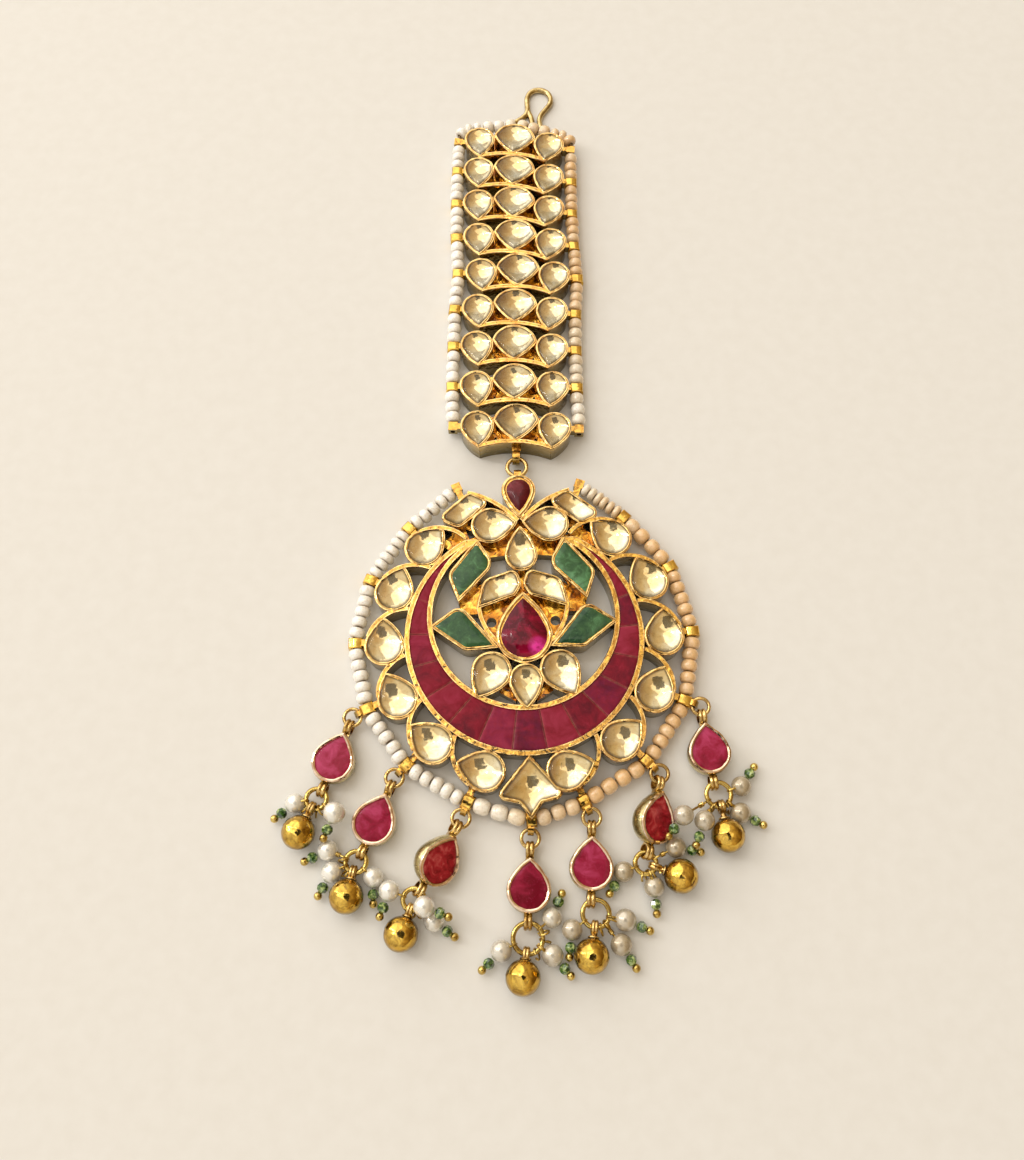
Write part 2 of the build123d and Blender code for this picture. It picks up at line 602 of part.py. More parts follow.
stone_groups = {
    "outer_kundan": outer_outlines,
    "inner_kundan": inner_outlines,
    "emerald_leaves": leaves,
    "top_ruby": [pear_at(TOP_RUBY)],
    "centre_ruby": [pear_at(CENTRE_RUBY)],
}
for stone_name, outlines in stone_groups.items():
    with BuildPart() as stones:
        with BuildSketch(pendant_plane.offset(SEAT + GAP)):
            for outline in outlines:
                add(outline)
        extrude(amount=RIM_TOP + STONE_RISE - SEAT)
        chamfer(stones.edges().group_by(Axis.Z)[-1], STONE_BEVEL)
    stones.part.label = stone_name
    export_step(stones.part, f"parts/{stone_name}.step")

with BuildPart() as crescent_rubies:
    with BuildSketch(pendant_plane.offset(SEAT + GAP)):
        add(crescent(0))
        for index in range(SEAM_COUNT):
            angle = SEAM_FIRST + SEAM_PITCH * index
            with Locations(Location(polar(CRESCENT_RADIUS, angle), angle)):
                Rectangle(CRESCENT_RADIUS, SEAM_WIDTH, mode=Mode.SUBTRACT)
    extrude(amount=RIM_TOP - SEAT - GAP)
crescent_rubies.part.label = "crescent_rubies"
export_step(crescent_rubies.part, "parts/crescent_rubies.step")

rim_order = [(-1, index) for index in range(RING_PEARS + 1, 0, -1)]
rim_order += [(0, 0)] + [(1, index) for index in range(1, RING_PEARS + 2)]
rim_stations = [pendant_plane.from_local_coords(Vector(*rim_tubes[key], STRING_Z)) for key in rim_order]
rim_counts = tuple(reversed(RING_SIDES[0].beads)) + RING_SIDES[1].beads
runs = [
    bead_run(start, end, beads, TUBE / 2 + TUBE_CLEARANCE)
    for start, end, beads in zip(rim_stations, rim_stations[1:], rim_counts)
]
with BuildPart() as rim_beads:
    for run in runs:
        add(run)
rim_beads.part.label = "rim_beads"
export_step(rim_beads.part, "parts/rim_beads.step")

# ================================ Drops =========================================================
setting_outline = pear(SETTING_WIDTH, SETTING_LENGTH)
ring_places = []
for number, drop in enumerate(DROPS, start=1):
    tube = tuple(pendant_plane.from_local_coords(Vector(*drop_tubes[number])))
    ring = shifted(tube, TUBE_EYE_OUT + JUMP_RING, drop.ring_to)
    ring_level = STRING_Z + RING_LIFT if drop.roll else STRING_Z
    ring_places.append((*ring, ring_level))
    tip_reach = SETTING_LENGTH - SETTING_WIDTH / 2
    middle = shifted(ring, JUMP_RING + STRAP_PLAY + STRAP_RADIUS + tip_reach, drop.setting_to)
    lower_strap = SETTING_WIDTH / 2 + STRAP_RADIUS - 0.1
    lower_wire = shifted(middle, lower_strap + STRAP_PLAY, drop.setting_to)
    lower_ring = shifted(lower_wire, drop.ring2, drop.ring2_to)
    bell_middle = shifted(lower_ring, drop.bell_reach, drop.bell_to)
    level = ROLLED_Z if drop.roll else SETTING_Z
    lying = Location((*middle, level), (0, 0, drop.setting_to)) * Location((0, 0, 0), (drop.roll, 0, 0))
    drop_plane = Plane(lying * Location((0, 0, 0), (0, 0, 180)))

    with BuildPart(drop_plane) as drop_setting:
        with BuildSketch(drop_plane.offset(-SETTING_DEPTH / 2)):
            add(setting_outline)
        extrude(amount=SETTING_DEPTH)
        back_edges = drop_setting.edges().sort_by(Axis(drop_plane.origin, drop_plane.z_dir))[:3]
        chamfer(back_edges, SETTING_BEVEL)
        with Locations((tip_reach + STRAP_RADIUS - 0.05, 0, 0), (-lower_strap, 0, 0)):
            add(strap(STRAP_HOLE, STRAP_RADIUS, STRAP_WIDTH))
        with Locations((tip_reach - 0.4, 0, 0)):
            Box(1.2, 0.8, 1.4)
        with BuildSketch(drop_plane.offset(SETTING_DEPTH / 2 - SETTING_SEAT)):
            add(grown(setting_outline, -SETTING_WALL))
        extrude(amount=SETTING_DEPTH, mode=Mode.SUBTRACT)
    drop_setting.part.label = f"drop_{number}_setting"
    export_step(drop_setting.part, f"parts/drop_{number}_setting.step")

    with BuildPart() as drop_ruby:
        with BuildSketch(drop_plane.offset(SETTING_DEPTH / 2 - SETTING_SEAT + GAP)):
            add(grown(setting_outline, -SETTING_WALL - GAP))
        extrude(amount=SETTING_SEAT - GAP - RUBY_SUNK)
    drop_ruby.part.label = f"drop_{number}_ruby"
    export_step(drop_ruby.part, f"parts/drop_{number}_ruby.step")

    loop_at = shifted(lower_ring, drop.ring2, drop.bell_to)
    with BuildPart() as drop_bell:
        with Locations((*bell_middle, BELL_RADIUS)):
            Sphere(BELL_RADIUS)
        neck_start = shifted(loop_at, BELL_LOOP, drop.bell_to)
        add(rod((*neck_start, BELL_LOOP_Z), (*bell_middle, BELL_RADIUS), BELL_NECK))
        with Locations(Location((*loop_at, BELL_LOOP_Z), (0, 0, drop.bell_to))):
            Torus(BELL_LOOP, BELL_LOOP_WIRE, rotation=(90, 0, 0))
    drop_bell.part.label = f"drop_{number}_bell"
    export_step(drop_bell.part, f"parts/drop_{number}_bell.step")

    pins = [pin for pin in PINS if pin.drop == number]
    links = [wire_link(lower_ring, drop.ring2, ring_level, pin) for pin in pins]
    pieces = [head_pin(pin) for pin in pins] + [link for link in links if link]
    with BuildPart() as drop_cluster:
        with Locations((*lower_ring, ring_level)):
            Torus(drop.ring2, WIRE)
        for piece in pieces:
            add(piece)
    drop_cluster.part.label = f"drop_{number}_cluster"
    export_step(drop_cluster.part, f"parts/drop_{number}_cluster.step")

with BuildPart() as drop_rings:
    with Locations(*ring_places):
        Torus(JUMP_RING, WIRE)
drop_rings.part.label = "drop_rings"
export_step(drop_rings.part, "parts/drop_rings.step")
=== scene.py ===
"""Looks of a kundan maang tikka, a forehead ornament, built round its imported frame.

Lengths in this file are millimetres of the piece, and each piece becomes metres when it is made.
"""
import math
import random

import bpy
import numpy as np
from bpy.props import FloatProperty, FloatVectorProperty, IntProperty, PointerProperty
from mathutils import Matrix, Vector, geometry, noise


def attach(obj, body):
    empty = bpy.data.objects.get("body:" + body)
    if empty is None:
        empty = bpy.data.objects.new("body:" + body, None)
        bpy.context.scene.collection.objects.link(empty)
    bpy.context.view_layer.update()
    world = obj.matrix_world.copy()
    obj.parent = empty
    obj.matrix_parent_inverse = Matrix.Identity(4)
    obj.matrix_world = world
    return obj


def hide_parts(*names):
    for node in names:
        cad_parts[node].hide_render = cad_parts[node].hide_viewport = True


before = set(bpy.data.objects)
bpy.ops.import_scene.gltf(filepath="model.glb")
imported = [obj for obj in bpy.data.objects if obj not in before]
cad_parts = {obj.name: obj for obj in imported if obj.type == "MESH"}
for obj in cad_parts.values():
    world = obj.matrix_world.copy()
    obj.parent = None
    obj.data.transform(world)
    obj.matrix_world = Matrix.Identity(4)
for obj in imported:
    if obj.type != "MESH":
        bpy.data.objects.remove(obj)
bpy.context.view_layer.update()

bl_info = {
    "name": "Kundan Maang Tikka",
    "version": (1, 0, 0),
    "blender": (4, 5, 0),
    "location": "View3D > Sidebar > Tikka",
    "description": "Sets stones, strings beads and finishes the gold of a kundan maang tikka",
    "category": "Object",
}

MM = 0.001
SQUARE = ((-1, -1), (1, -1), (1, 1), (-1, 1))  # corners of a square in turn
NOISE_SEED = 1  # noise_vector, which moves the hand-made wires, is seeded from the clock without it
BAND_ROWS = 9
DROPS = 7
RIM_TOP = 4.2  # height of the casings' rims
FLOOR_FADE = (2.5, 2.3)  # heights between which the painted amber shade of the recess floors comes in
RIM_FADE = (2.4, 2.55)  # heights between which the yellow of the rims comes in
WALL = 0.5  # thickness of a casing's rim
COLLAR_WALL = 0.75  # the same round the two pear rubies
STONE_GAP = 0.05
KUNDAN_EDGE = 0.03  # height of a glass stone's edge over the rims
LEAF_EDGE = 0.02  # the same for an emerald leaf
LIP_DROP = 0.06  # how far the middle of a lip lies under the rims
EDGE_WIRE = 0.14  # radius of the burnished bead along a rim's edge
EDGE_DROP = 0.11
SETTING_WALL = 0.5  # from a drop's ruby to the outside of its casing
SETTING_BACK = -1.55  # a drop casing's back, counted from its ruby's underside
SETTING_RIM = 1.35
CASING_SECTION = (  # inset from the outside of a drop's casing, and height
    (1.0, SETTING_BACK), (0.5, -1.42), (0.16, -1.0), (-0.02, -0.45), (-0.1, 0.1), (-0.06, 0.65), (0.06, 1.08),
    (0.2, SETTING_RIM - 0.1), (0.42, SETTING_RIM - 0.12), (0.52, SETTING_RIM - 0.4),
)
CASING_LIP = 0.3  # radius of the lip round a drop's ruby
CASING_LIP_INSET = 0.28
STRAP_RADIUS = 1.2
STRAP_BAND = (  # place across a strap and radius, up one rib, down between the two and over the other
    (-0.6, 0.92), (-0.6, 1.1), (-0.48, 1.22), (-0.3, 1.27), (-0.12, 1.2), (0.0, 1.1), (0.12, 1.2),
    (0.3, 1.27), (0.48, 1.22), (0.6, 1.1), (0.6, 0.92),
)
STRAP_TAB = ((1.9, 0.5), (1.5, 0.62), (1.0, 0.55))  # distance toward the casing, and half width
STRAP_TAB_DEPTH = 0.45  # half of it
BEAD_RADIUS = 1.25
BEAD_NECK = 0.75  # radius of the flat ends of a bead
BEAD_GAP = 0.08
BEAD_SHIFT = 0.07  # greatest slip and tilt of a bead on its thread
THREAD_WIRE = 0.16
THREAD_END = 0.1  # bare thread at each end of a run over the first plate
WHITE_BEADS_AT = 36  # place up the piece where the beads are whitest
WHITE_BEADS_REACH = 30
WARM_ACROSS = 22  # distance across the piece from white beads to warm ones, which are partly painted shade
TOP_ROW = (-1.5, 96.1, -5.0)  # middle and turn of the first plate, which the top string is laid by
TOP_STRING_Z = 2.4
TOP_STRING = ((-10.6, 1.8, 0), (-9.7, 3.4, 1), (-6.5, 4.2, 2), (0.0, 5.6, 3), (6.5, 4.2, 3), (9.7, 3.4, 2),
              (10.6, 1.8, 1))  # bends of the string over the first plate, and the beads up to each
SEAM_HORNS = (160, 143, 38, 54)  # directions in degrees of the cuts across the crescent's horns
STONE_OVER = 0.2  # how far a stone's face reaches over its rim
BELL_RADIUS = 2.5
BELL_RINGS = 30  # rings of faces from one end of a bell to the other
BELL_SINK = 0.03  # how far its skin lies inside the CAD's
BELL_SEAM = 0.02  # how far its seam stands outside the CAD's
BELL_SEAM_HALF = 0.06  # half the seam's width in radians
BELL_COLLAR = (  # (height, radius) from the bell's middle
    (BELL_RADIUS - 0.12, 0.3), (BELL_RADIUS - 0.1, 0.85), (BELL_RADIUS + 0.08, 0.8),
    (BELL_RADIUS + 0.16, 0.55), (BELL_RADIUS + 0.4, 0.42), (BELL_RADIUS + 0.75, 0.36),
)
BELL_LOOP = 0.8
BELL_LOOP_WIRE = 0.22
BELL_LOOP_THICKER = 0.08  # how much thicker in radius the loops are drawn
BELL_LOOP_Z = 1.95
BELL_LOOPS_APART = 0.22  # of each loop from the middle of the two
GLASS_BEAD_AT = 0.9  # past the pearl's skin
GLASS_BEAD = ((-0.74, 0.3), (-0.5, 0.68), (0, 0.86), (0.5, 0.68), (0.74, 0.3))  # (height, radius)
PIN_BALL_AT = 2.2
PIN_BALL = 0.62
PIN_WIRE = 0.2
PEARL_TONES_ACROSS = 42  # distance across the piece from white pearls to brown ones
LOW_PEARL = 2  # pearls whose middle is lower than this are browner
LOWER_RING_WIRE = 0.37  # 0.09 thicker in radius than in the CAD
HANGING_WIRE = 0.17
HANGING_EYE = 0.7
WRAP_WIRE = 0.13
WRAP = 0.26  # radius of the wrapped neck
LOOSE_EYE_WIRE = 0.16
LOOSE_EYE_OPEN = 330  # degrees that a loose eye runs round
LOOSE_EYES = (-38, -12, 14, 40)  # degrees of each from the side that the pearls hang on
TUBE_SHORTEST = 0.8  # least and greatest length of a thread tube, between two runs of beads
TUBE_LONGEST = 3.4
TUBE_END_GAP = 0.08
TUBE_HALF_WIDTH = 1.12
TUBE_SECTION = (  # (inset, height) up a thread tube's side
    (0.3, 0.12), (0.06, 0.3), (0.0, 1.2), (0.02, 2.3), (0.12, 2.52), (0.34, 2.66),
)
FOIL_DISH = 0.37  # half the slope of the foil at a stone's edge
PIN_VOLUME = 8.0  # a cluster's head pins are larger than this, its wires smaller
PIN_DROOP = 0.12  # how much a pin dips along its length
CASING_ROLL = 13  # degrees that the two rolled casings lean further than their straps
CASING_LIFT = 0.3
ROLLED_DROPS = (3, 6)
RIDGED_DROP = 3  # whose ruby has a broken face
SHADED_DROP = 4  # whose ruby darkens toward its middle
DROP_TONES = (0.14, -0.04, -0.04, -0.12, -0.02, -0.06, 0.06)  # how much paler each drop's ruby is
FLOOR_REACH = 3.0  # metres from the middle of the floor to its edge
WINDOW_WHITE = (1.0, 0.97, 0.92)
VIEWER_CARD = (  # outline in metres of the dark card beside the camera
    (-0.05, -0.056), (0.03, -0.06), (0.033, -0.02), (0.056, -0.016), (0.054, 0.04), (0.008, 0.046),
    (0.006, 0.062), (-0.032, 0.06), (-0.034, 0.016), (-0.054, 0.012),
)
VIEWER_CARD_AT = (0, -0.002, 0.006)  # metres from the camera


def linear(code):
    """Linear colour with alpha of an sRGB hex value."""
    parts = [int(code[place:place + 2], 16) / 255 for place in (1, 3, 5)]
    return tuple(p / 12.92 if p <= 0.04045 else ((p + 0.055) / 1.055) ** 2.4 for p in parts) + (1.0,)


# ---- Settings ----------------------------------------------------------------------------------
def colour_property(name, description, code):
    """Colour setting whose default is an sRGB hex value."""
    return FloatVectorProperty(
        name=name, description=description, subtype="COLOR", size=4, min=0, max=1, default=linear(code)
    )


def size_property(name, description, default):
    """Length setting in millimetres of the piece."""
    return FloatProperty(name=name, description=description, default=default, min=0, soft_max=10, precision=2)


class TikkaSizes(bpy.types.PropertyGroup):
    lip: size_property("Lip", "Radius in mm of the gold lip pressed over a stone's edge", 0.18)
    lip_wave: size_property("Lip wave", "How far in mm a hand-pressed lip wanders", 0.1)
    dome: size_property("Table", "Height in mm of a glass stone's flat table over its edge", 0.28)
    facet: size_property("Mesh", "Spacing in mm of the points on a stone's face", 0.34)
    bead_sides: IntProperty(
        name="Bead sides", description="Sides round a seed bead", default=22, min=8, max=48,
    )
    bead_spread: FloatProperty(
        name="Bead spread", description="How much seed beads differ in size", subtype="FACTOR",
        default=0.05, min=0, max=0.3,
    )


class TikkaColours(bpy.types.PropertyGroup):
    gold: colour_property("Gold", "High-carat gold of the rims", "#DBA94C")
    # Painted shade: the recess floors are painted this deeper, darker amber as shade and light bounced
    # between the gold walls.
    recess_shade_gold: colour_property("Deep gold", "Gold in the recesses", "#C8821E")
    # Painted shade: the walls are painted toward this darker olive brown low down, and darker still at the
    # bottom.
    wall_shade_gold: colour_property("Wall gold", "Older, greener gold low on the walls", "#7E7240")
    # Painted light: each kundan foil is painted the warm colour on its upper left as painted shade and the
    # pale one on its lower right as a painted highlight.
    foil: colour_property("Foil", "Foil under the glass, warm side", "#D2AE6C")
    foil_painted_highlight: colour_property("Pale foil", "Foil under the glass, pale side", "#F0E6C8")
    ruby: colour_property("Ruby", "Crescent rubies", "#801A2A")
    emerald: colour_property("Emerald", "Leaves", "#3A5C36")
    pearl: colour_property("Pearl", "Pearls", "#ECE8DE")
    pearl_shade: colour_property("Shaded pearl", "Browner pearls", "#B0A084")
    bead: colour_property("Seed bead", "Whitest seed beads", "#FCF8F0")
    # Partly painted shade: beads to the right are painted this warmer, darker colour, as the light comes from
    # the left.
    bead_warm: colour_property("Warm seed bead", "Creamiest seed beads", "#EDC18A")
    floor: colour_property("Floor", "Pale ground that the piece lies on", "#E2DFDA")


# ---- Reading the frame -------------------------------------------------------------------------
def loose_parts(name):
    """Separate solids of a CAD node, each as its points in millimetres and its triangles."""
    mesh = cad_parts[name].data
    mesh.calc_loop_triangles()
    points = np.empty(len(mesh.vertices) * 3)
    mesh.vertices.foreach_get("co", points)
    points = points.reshape(-1, 3) / MM
    corners = np.empty(len(mesh.loop_triangles) * 3, dtype=np.int64)
    mesh.loop_triangles.foreach_get("vertices", corners)
    _, first, weld = np.unique(np.round(points * 1e4).astype(np.int64), axis=0,
                               return_index=True, return_inverse=True)
    points = points[first]
    triangles = weld.reshape(-1)[corners].reshape(-1, 3)
    label = np.arange(len(points))
    while True:
        lowest = label[triangles].min(axis=1)
        merged = label.copy()
        for corner in range(3):
            np.minimum.at(merged, triangles[:, corner], lowest)
        merged = merged[merged]
        if (merged == label).all():
            break
        label = merged
    owner = label[triangles[:, 0]]
    return [(points, triangles[owner == root]) for root in np.unique(owner)]


def used_points(part):
    """The points that a part's triangles use."""
    points, triangles = part
    return points[np.unique(triangles)]


def volume(part):
    """Volume of a closed part in cubic millimetres."""
    points, triangles = part
    a, b, c = (points[triangles[:, corner]] for corner in range(3))
    return float(np.einsum("ij,ij->i", a, np.cross(b, c)).sum() / 6)


def open_edges(triangles):
    """Directed edges that only one of the triangles has, in the order that they come."""
    edges = {}
    for triangle in triangles:
        for start, end in zip(triangle, (*triangle[1:], triangle[0])):
            if (end, start) in edges:
                del edges[(end, start)]
            else:
                edges[(start, end)] = True
    return list(edges)


class Seat:
    """A stone's place: its outline on its own flat base, and the matrix from there to the piece."""

    def __init__(self, part):
        points, triangles = part
        a, b, c = (points[triangles[:, corner]] for corner in range(3))
        cross = np.cross(b - a, c - a)
        area = np.linalg.norm(cross, axis=1)
        keep = area > 1e-9
        triangles, cross, area = triangles[keep], cross[keep], area[keep]
        normals = cross / area[:, None]
        facing_down = {}
        for normal, size in zip(np.round(normals, 2), area):
            if normal[2] < -0.3:
                key = tuple(normal)
                facing_down[key] = facing_down.get(key, 0) + size
        main = np.array(max(facing_down, key=facing_down.get))
        flat = normals @ main > 0.995
        up = -(normals[flat] * area[flat][:, None]).sum(axis=0)
        up = Vector(up / np.linalg.norm(up))
        following = dict(open_edges(triangles[flat].tolist()))
        here = next(iter(following))
        loop = [here]
        while following[loop[-1]] != here:
            loop.append(following[loop[-1]])
        outline = [Vector(points[index]) for index in reversed(loop)]
        across = (Vector((1, 0, 0)) - up * up.x).normalized()
        turn = Matrix((across, up.cross(across), up)).transposed()
        centre = sum(outline, Vector()) / len(outline)
        local = [turn.transposed() @ (point - centre) for point in outline]
        self.loop = evened([(p.x, p.y) for p in local])
        middle = centroid(self.loop)
        self.loop = [(x - middle[0], y - middle[1]) for x, y in self.loop]
        self.half = max(math.dist(point, (0, 0)) for point in self.loop)
        centre = centre + turn @ Vector((*middle, 0))
        self.matrix = Matrix.Translation(centre) @ turn.to_4x4()
        self.up = up
        self.centre = centre
        top = used_points(part) @ np.array(up)
        self.height = float(top.max() - np.array(centre) @ np.array(up))


def centroid(loop):
    """Middle of a closed outline's area."""
    area = x_sum = y_sum = 0.0
    for (x0, y0), (x1, y1) in zip(loop, loop[1:] + loop[:1]):
        cross = x0 * y1 - x1 * y0
        area += cross
        x_sum += (x0 + x1) * cross
        y_sum += (y0 + y1) * cross
    return (x_sum / (3 * area), y_sum / (3 * area))


def evened(loop, spacing=0.26, closest=0.09):
    """Outline with near points dropped and long stretches divided, its corners kept."""
    kept = [loop[0]]
    for point in loop[1:]:
        if math.dist(point, kept[-1]) > closest:
            kept.append(point)
    if math.dist(kept[-1], kept[0]) < closest:
        kept.pop()
    result = []
    for start, end in zip(kept, kept[1:] + kept[:1]):
        steps = max(1, round(math.dist(start, end) / spacing))
        for step in range(steps):
            part = step / steps
            result.append((start[0] + (end[0] - start[0]) * part, start[1] + (end[1] - start[1]) * part))
    return result


def moved_out(loop, amount):
    """Outline moved outward by a distance, or inward where it is negative."""
    result = []
    count = len(loop)
    for index, (x, y) in enumerate(loop):
        before, after = loop[index - 1], loop[(index + 1) % count]
        normals = []
        for (x0, y0), (x1, y1) in ((before, (x, y)), ((x, y), after)):
            length = math.hypot(x1 - x0, y1 - y0)
            normals.append(((y1 - y0) / length, (x0 - x1) / length))
        nx, ny = normals[0][0] + normals[1][0], normals[0][1] + normals[1][1]
        length = math.hypot(nx, ny) or 1.0
        nx, ny = nx / length, ny / length
        reach = max(0.45, nx * normals[0][0] + ny * normals[0][1])
        result.append((x + nx * amount / reach, y + ny * amount / reach))
    return result


# ---- Making meshes -----------------------------------------------------------------------------
class Shape:
    """Points in millimetres, faces, a finish for each face, and on each point the marks that the finish
    reads by their labels."""

    def __init__(self, *labels):
        self.labels = labels
        self.points, self.faces, self.marks, self.finishes = [], [], [], []

    def add(self, points, faces, marks=None, finish=0, matrix=None):
        """Adds faces on new points; marks are one tuple for all the points or a list with one for each."""
        start = len(self.points)
        self.points += [matrix @ Vector(p) for p in points] if matrix else [Vector(p) for p in points]
        self.faces += [[start + index for index in face] for face in faces]
        self.marks += marks if isinstance(marks, list) else [marks or (0.0,) * len(self.labels)] * len(points)
        self.finishes += [finish] * len(faces)

    def build(self, name, materials, slot, replaces=(), crease=40):
        """Makes the object, which rides with the piece and may stand for CAD nodes."""
        mesh = bpy.data.meshes.new(name)
        mesh.from_pydata([point * MM for point in self.points], [], self.faces)
        for material in materials:
            mesh.materials.append(material)
        for label, values in zip(self.labels, zip(*self.marks)):
            mesh.attributes.new(label, "FLOAT", "POINT").data.foreach_set("value", values)
        mesh.polygons.foreach_set("material_index", self.finishes)
        mesh.polygons.foreach_set("use_smooth", [True] * len(self.faces))
        mesh.validate()
        mesh.update()
        mesh.set_sharp_from_angle(angle=math.radians(crease))
        piece = bpy.data.objects.new(name, mesh)
        bpy.context.scene.collection.objects.link(piece)
        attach(piece, "root")
        if replaces:
            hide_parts(*replaces)
        return piece


def rings(shape, loops, closed_ends=(True, True), **options):
    """Skin over loops of equal count, with a cap on each end that is closed."""
    count = len(loops[0])
    points = [point for loop in loops for point in loop]
    faces = []
    for level in range(len(loops) - 1):
        for index in range(count):
            after = (index + 1) % count
            low, high = level * count, (level + 1) * count
            faces.append([low + index, low + after, high + after, high + index])
    if closed_ends[0]:
        faces.append(list(reversed(range(count))))
    if closed_ends[1]:
        faces.append(list(range((len(loops) - 1) * count, len(loops) * count)))
    shape.add(points, faces, **options)


def turned(shape, profile, matrix, sides=20, closed=False, wobble=None, **options):
    """Solid of revolution about local Z from (height, radius) pairs; closed joins last to first."""
    points, faces = [], []
    for height, radius in profile:
        for index in range(sides):
            angle = 2 * math.pi * index / sides
            point = Vector((radius * math.cos(angle), radius * math.sin(angle), height))
            points.append(wobble(point) if wobble else point)
    levels = len(profile)
    for level in range(levels if closed else levels - 1):
        above = (level + 1) % levels
        for index in range(sides):
            after = (index + 1) % sides
            faces.append([level * sides + index, level * sides + after, above * sides + after,
                          above * sides + index])
    if not closed:
        faces.append(list(reversed(range(sides))))
        faces.append(list(range((levels - 1) * sides, levels * sides)))
    shape.add(points, faces, matrix=matrix, **options)


def wire(shape, path, radius, closed=False, sides=8, spread=0.0, drift=0.0, seed=0.0, **options):
    """Round wire along a path; spread varies its radius and drift its place, as hand work does."""
    path = [Vector(point) for point in path]
    count = len(path)
    tangents = []
    for index, point in enumerate(path):
        before = path[index - 1] if closed or index else path[0]
        after = path[(index + 1) % count] if closed or index + 1 < count else path[-1]
        tangents.append((after - before).normalized())
    side = tangents[0].orthogonal().normalized()
    if abs(tangents[0].z) < 0.5:
        side = Vector((0, 0, 1)).cross(tangents[0]).normalized()
    loops = []
    for point, tangent in zip(path, tangents):
        side = (side - tangent * side.dot(tangent)).normalized()
        up = tangent.cross(side)
        shift = noise.noise_vector(point * 0.9 + Vector((seed, 3.1, 7.7))) * drift
        width = radius * (1 + spread * noise.noise(point * 1.3 + Vector((9.2, seed, 1.4))))
        loops.append([
            point + shift + (side * math.cos(a) + up * math.sin(a)) * width
            for a in (2 * math.pi * k / sides for k in range(sides))
        ])
    if closed:
        loops.append(loops[0])
        rings(shape, loops, (False, False), **options)
    else:
        rings(shape, loops, (True, True), **options)


def aimed(place, direction, upright=Vector((0, 0, 1))):
    """Matrix whose local Z points along a direction."""
    z = Vector(direction).normalized()
    x = upright.cross(z)
    x = x.normalized() if x.length > 1e-6 else Vector((1, 0, 0))
    return Matrix.Translation(place) @ Matrix((x, z.cross(x), z)).transposed().to_4x4()


def circle_path(radius, count=32):
    """Points of a level circle about the origin."""
    turns = [2 * math.pi * k / count for k in range(count)]
    return [Vector((radius * math.cos(a), radius * math.sin(a), 0.0)) for a in turns]


def stone(shape, seat, edge, profile, spacing, marks, finish=0, over=0.0):
    """Stone on its seat: side walls up to the edge height, then a face shaped by the profile.

    profile(distance from the outline, greatest such distance, x, y) gives the height over the edge, and
    marks(x, y, distance) the marks of a point. The face may reach over the seat's rim by a little.
    """
    loop = moved_out(seat.loop, over) if over else seat.loop
    outline = np.array(loop)
    after = np.roll(outline, -1, axis=0)
    low, high = outline.min(axis=0), outline.max(axis=0)
    xs = np.arange(low[0] + spacing / 2, high[0], spacing)
    ys = np.arange(low[1] + spacing / 2, high[1], spacing * 0.866)
    grid = np.array([(x + (row % 2) * spacing / 2, y) for row, y in enumerate(ys) for x in xs])
    x0, y0, x1, y1 = outline[:, 0], outline[:, 1], after[:, 0], after[:, 1]
    gx, gy = grid[:, 0:1], grid[:, 1:2]
    crosses = (y0 > gy) != (y1 > gy)
    with np.errstate(divide="ignore", invalid="ignore"):
        inside = (crosses & (gx < (x1 - x0) * (gy - y0) / (y1 - y0) + x0)).sum(axis=1) % 2 == 1
    span = after - outline
    reach = ((grid[:, None, :] - outline) * span).sum(axis=2) / (span**2).sum(axis=1)
    nearest = outline + np.clip(reach, 0, 1)[:, :, None] * span
    distance = np.linalg.norm(grid[:, None, :] - nearest, axis=2).min(axis=1)
    keep = inside & (distance > spacing * 0.45)
    inner = [Vector(point) for point in grid[keep]]
    depths = [0.0] * len(loop) + list(distance[keep])
    deepest = max(depths) or spacing
    count = len(loop)
    found, _, faces, origin, _, _ = geometry.delaunay_2d_cdt(
        [Vector(point) for point in loop] + inner, [(k, (k + 1) % count) for k in range(count)], [], 1, 1e-5
    )
    points, face_marks = [], []
    for point, sources in zip(found, origin):
        depth = depths[sources[0]] if sources else 0.0
        points.append((point.x, point.y, edge + profile(depth, deepest, point.x, point.y)))
        face_marks.append(marks(point.x, point.y, depth))
    shape.add(points, faces, face_marks, finish, seat.matrix)
    walls = [[(x, y, 0) for x, y in seat.loop], [(x, y, edge - 0.02) for x, y in seat.loop],
             [(x, y, edge + profile(0, deepest, x, y)) for x, y in loop]]
    rings(shape, walls, (True, False), marks=[marks(x, y, 0) for x, y in loop] * 3, finish=finish,
          matrix=seat.matrix)


# ---- Materials ---------------------------------------------------------------------------------
def add_node(tree, kind, *values, **settings):
    """Adds a node, whose kind is its type after ShaderNode, and returns its first output.

    Values go to its inputs in order, and settings to its inputs or properties of those names, with a
    space written as an underscore. A socket is linked. Stops are a ramp's positions and colours.
    """
    node = tree.nodes.new(f"ShaderNode{kind}")
    for name, value in [*enumerate(values), *settings.items()]:
        key = name if isinstance(name, int) else name.replace("_", " ")
        if name == "stops":
            elements = node.color_ramp.elements
            while len(elements) < len(value):
                elements.new(0.5)
            for element, (position, colour) in zip(elements, value):
                element.position, element.color = position, colour
        elif isinstance(key, str) and key not in node.inputs:
            setattr(node, name, value)
        elif isinstance(value, bpy.types.NodeSocket):
            tree.links.new(value, node.inputs[key])
        else:
            node.inputs[key].default_value = value
    return node.outputs[0] if node.outputs else None


def new_material(name):
    """Material with an empty tree, and the place on the piece that its patterns are laid out by."""
    material = bpy.data.materials.new(name)
    material.use_nodes = True
    tree = material.node_tree
    tree.nodes.clear()
    return material, tree, add_node(tree, "TexCoord").node.outputs["Object"]


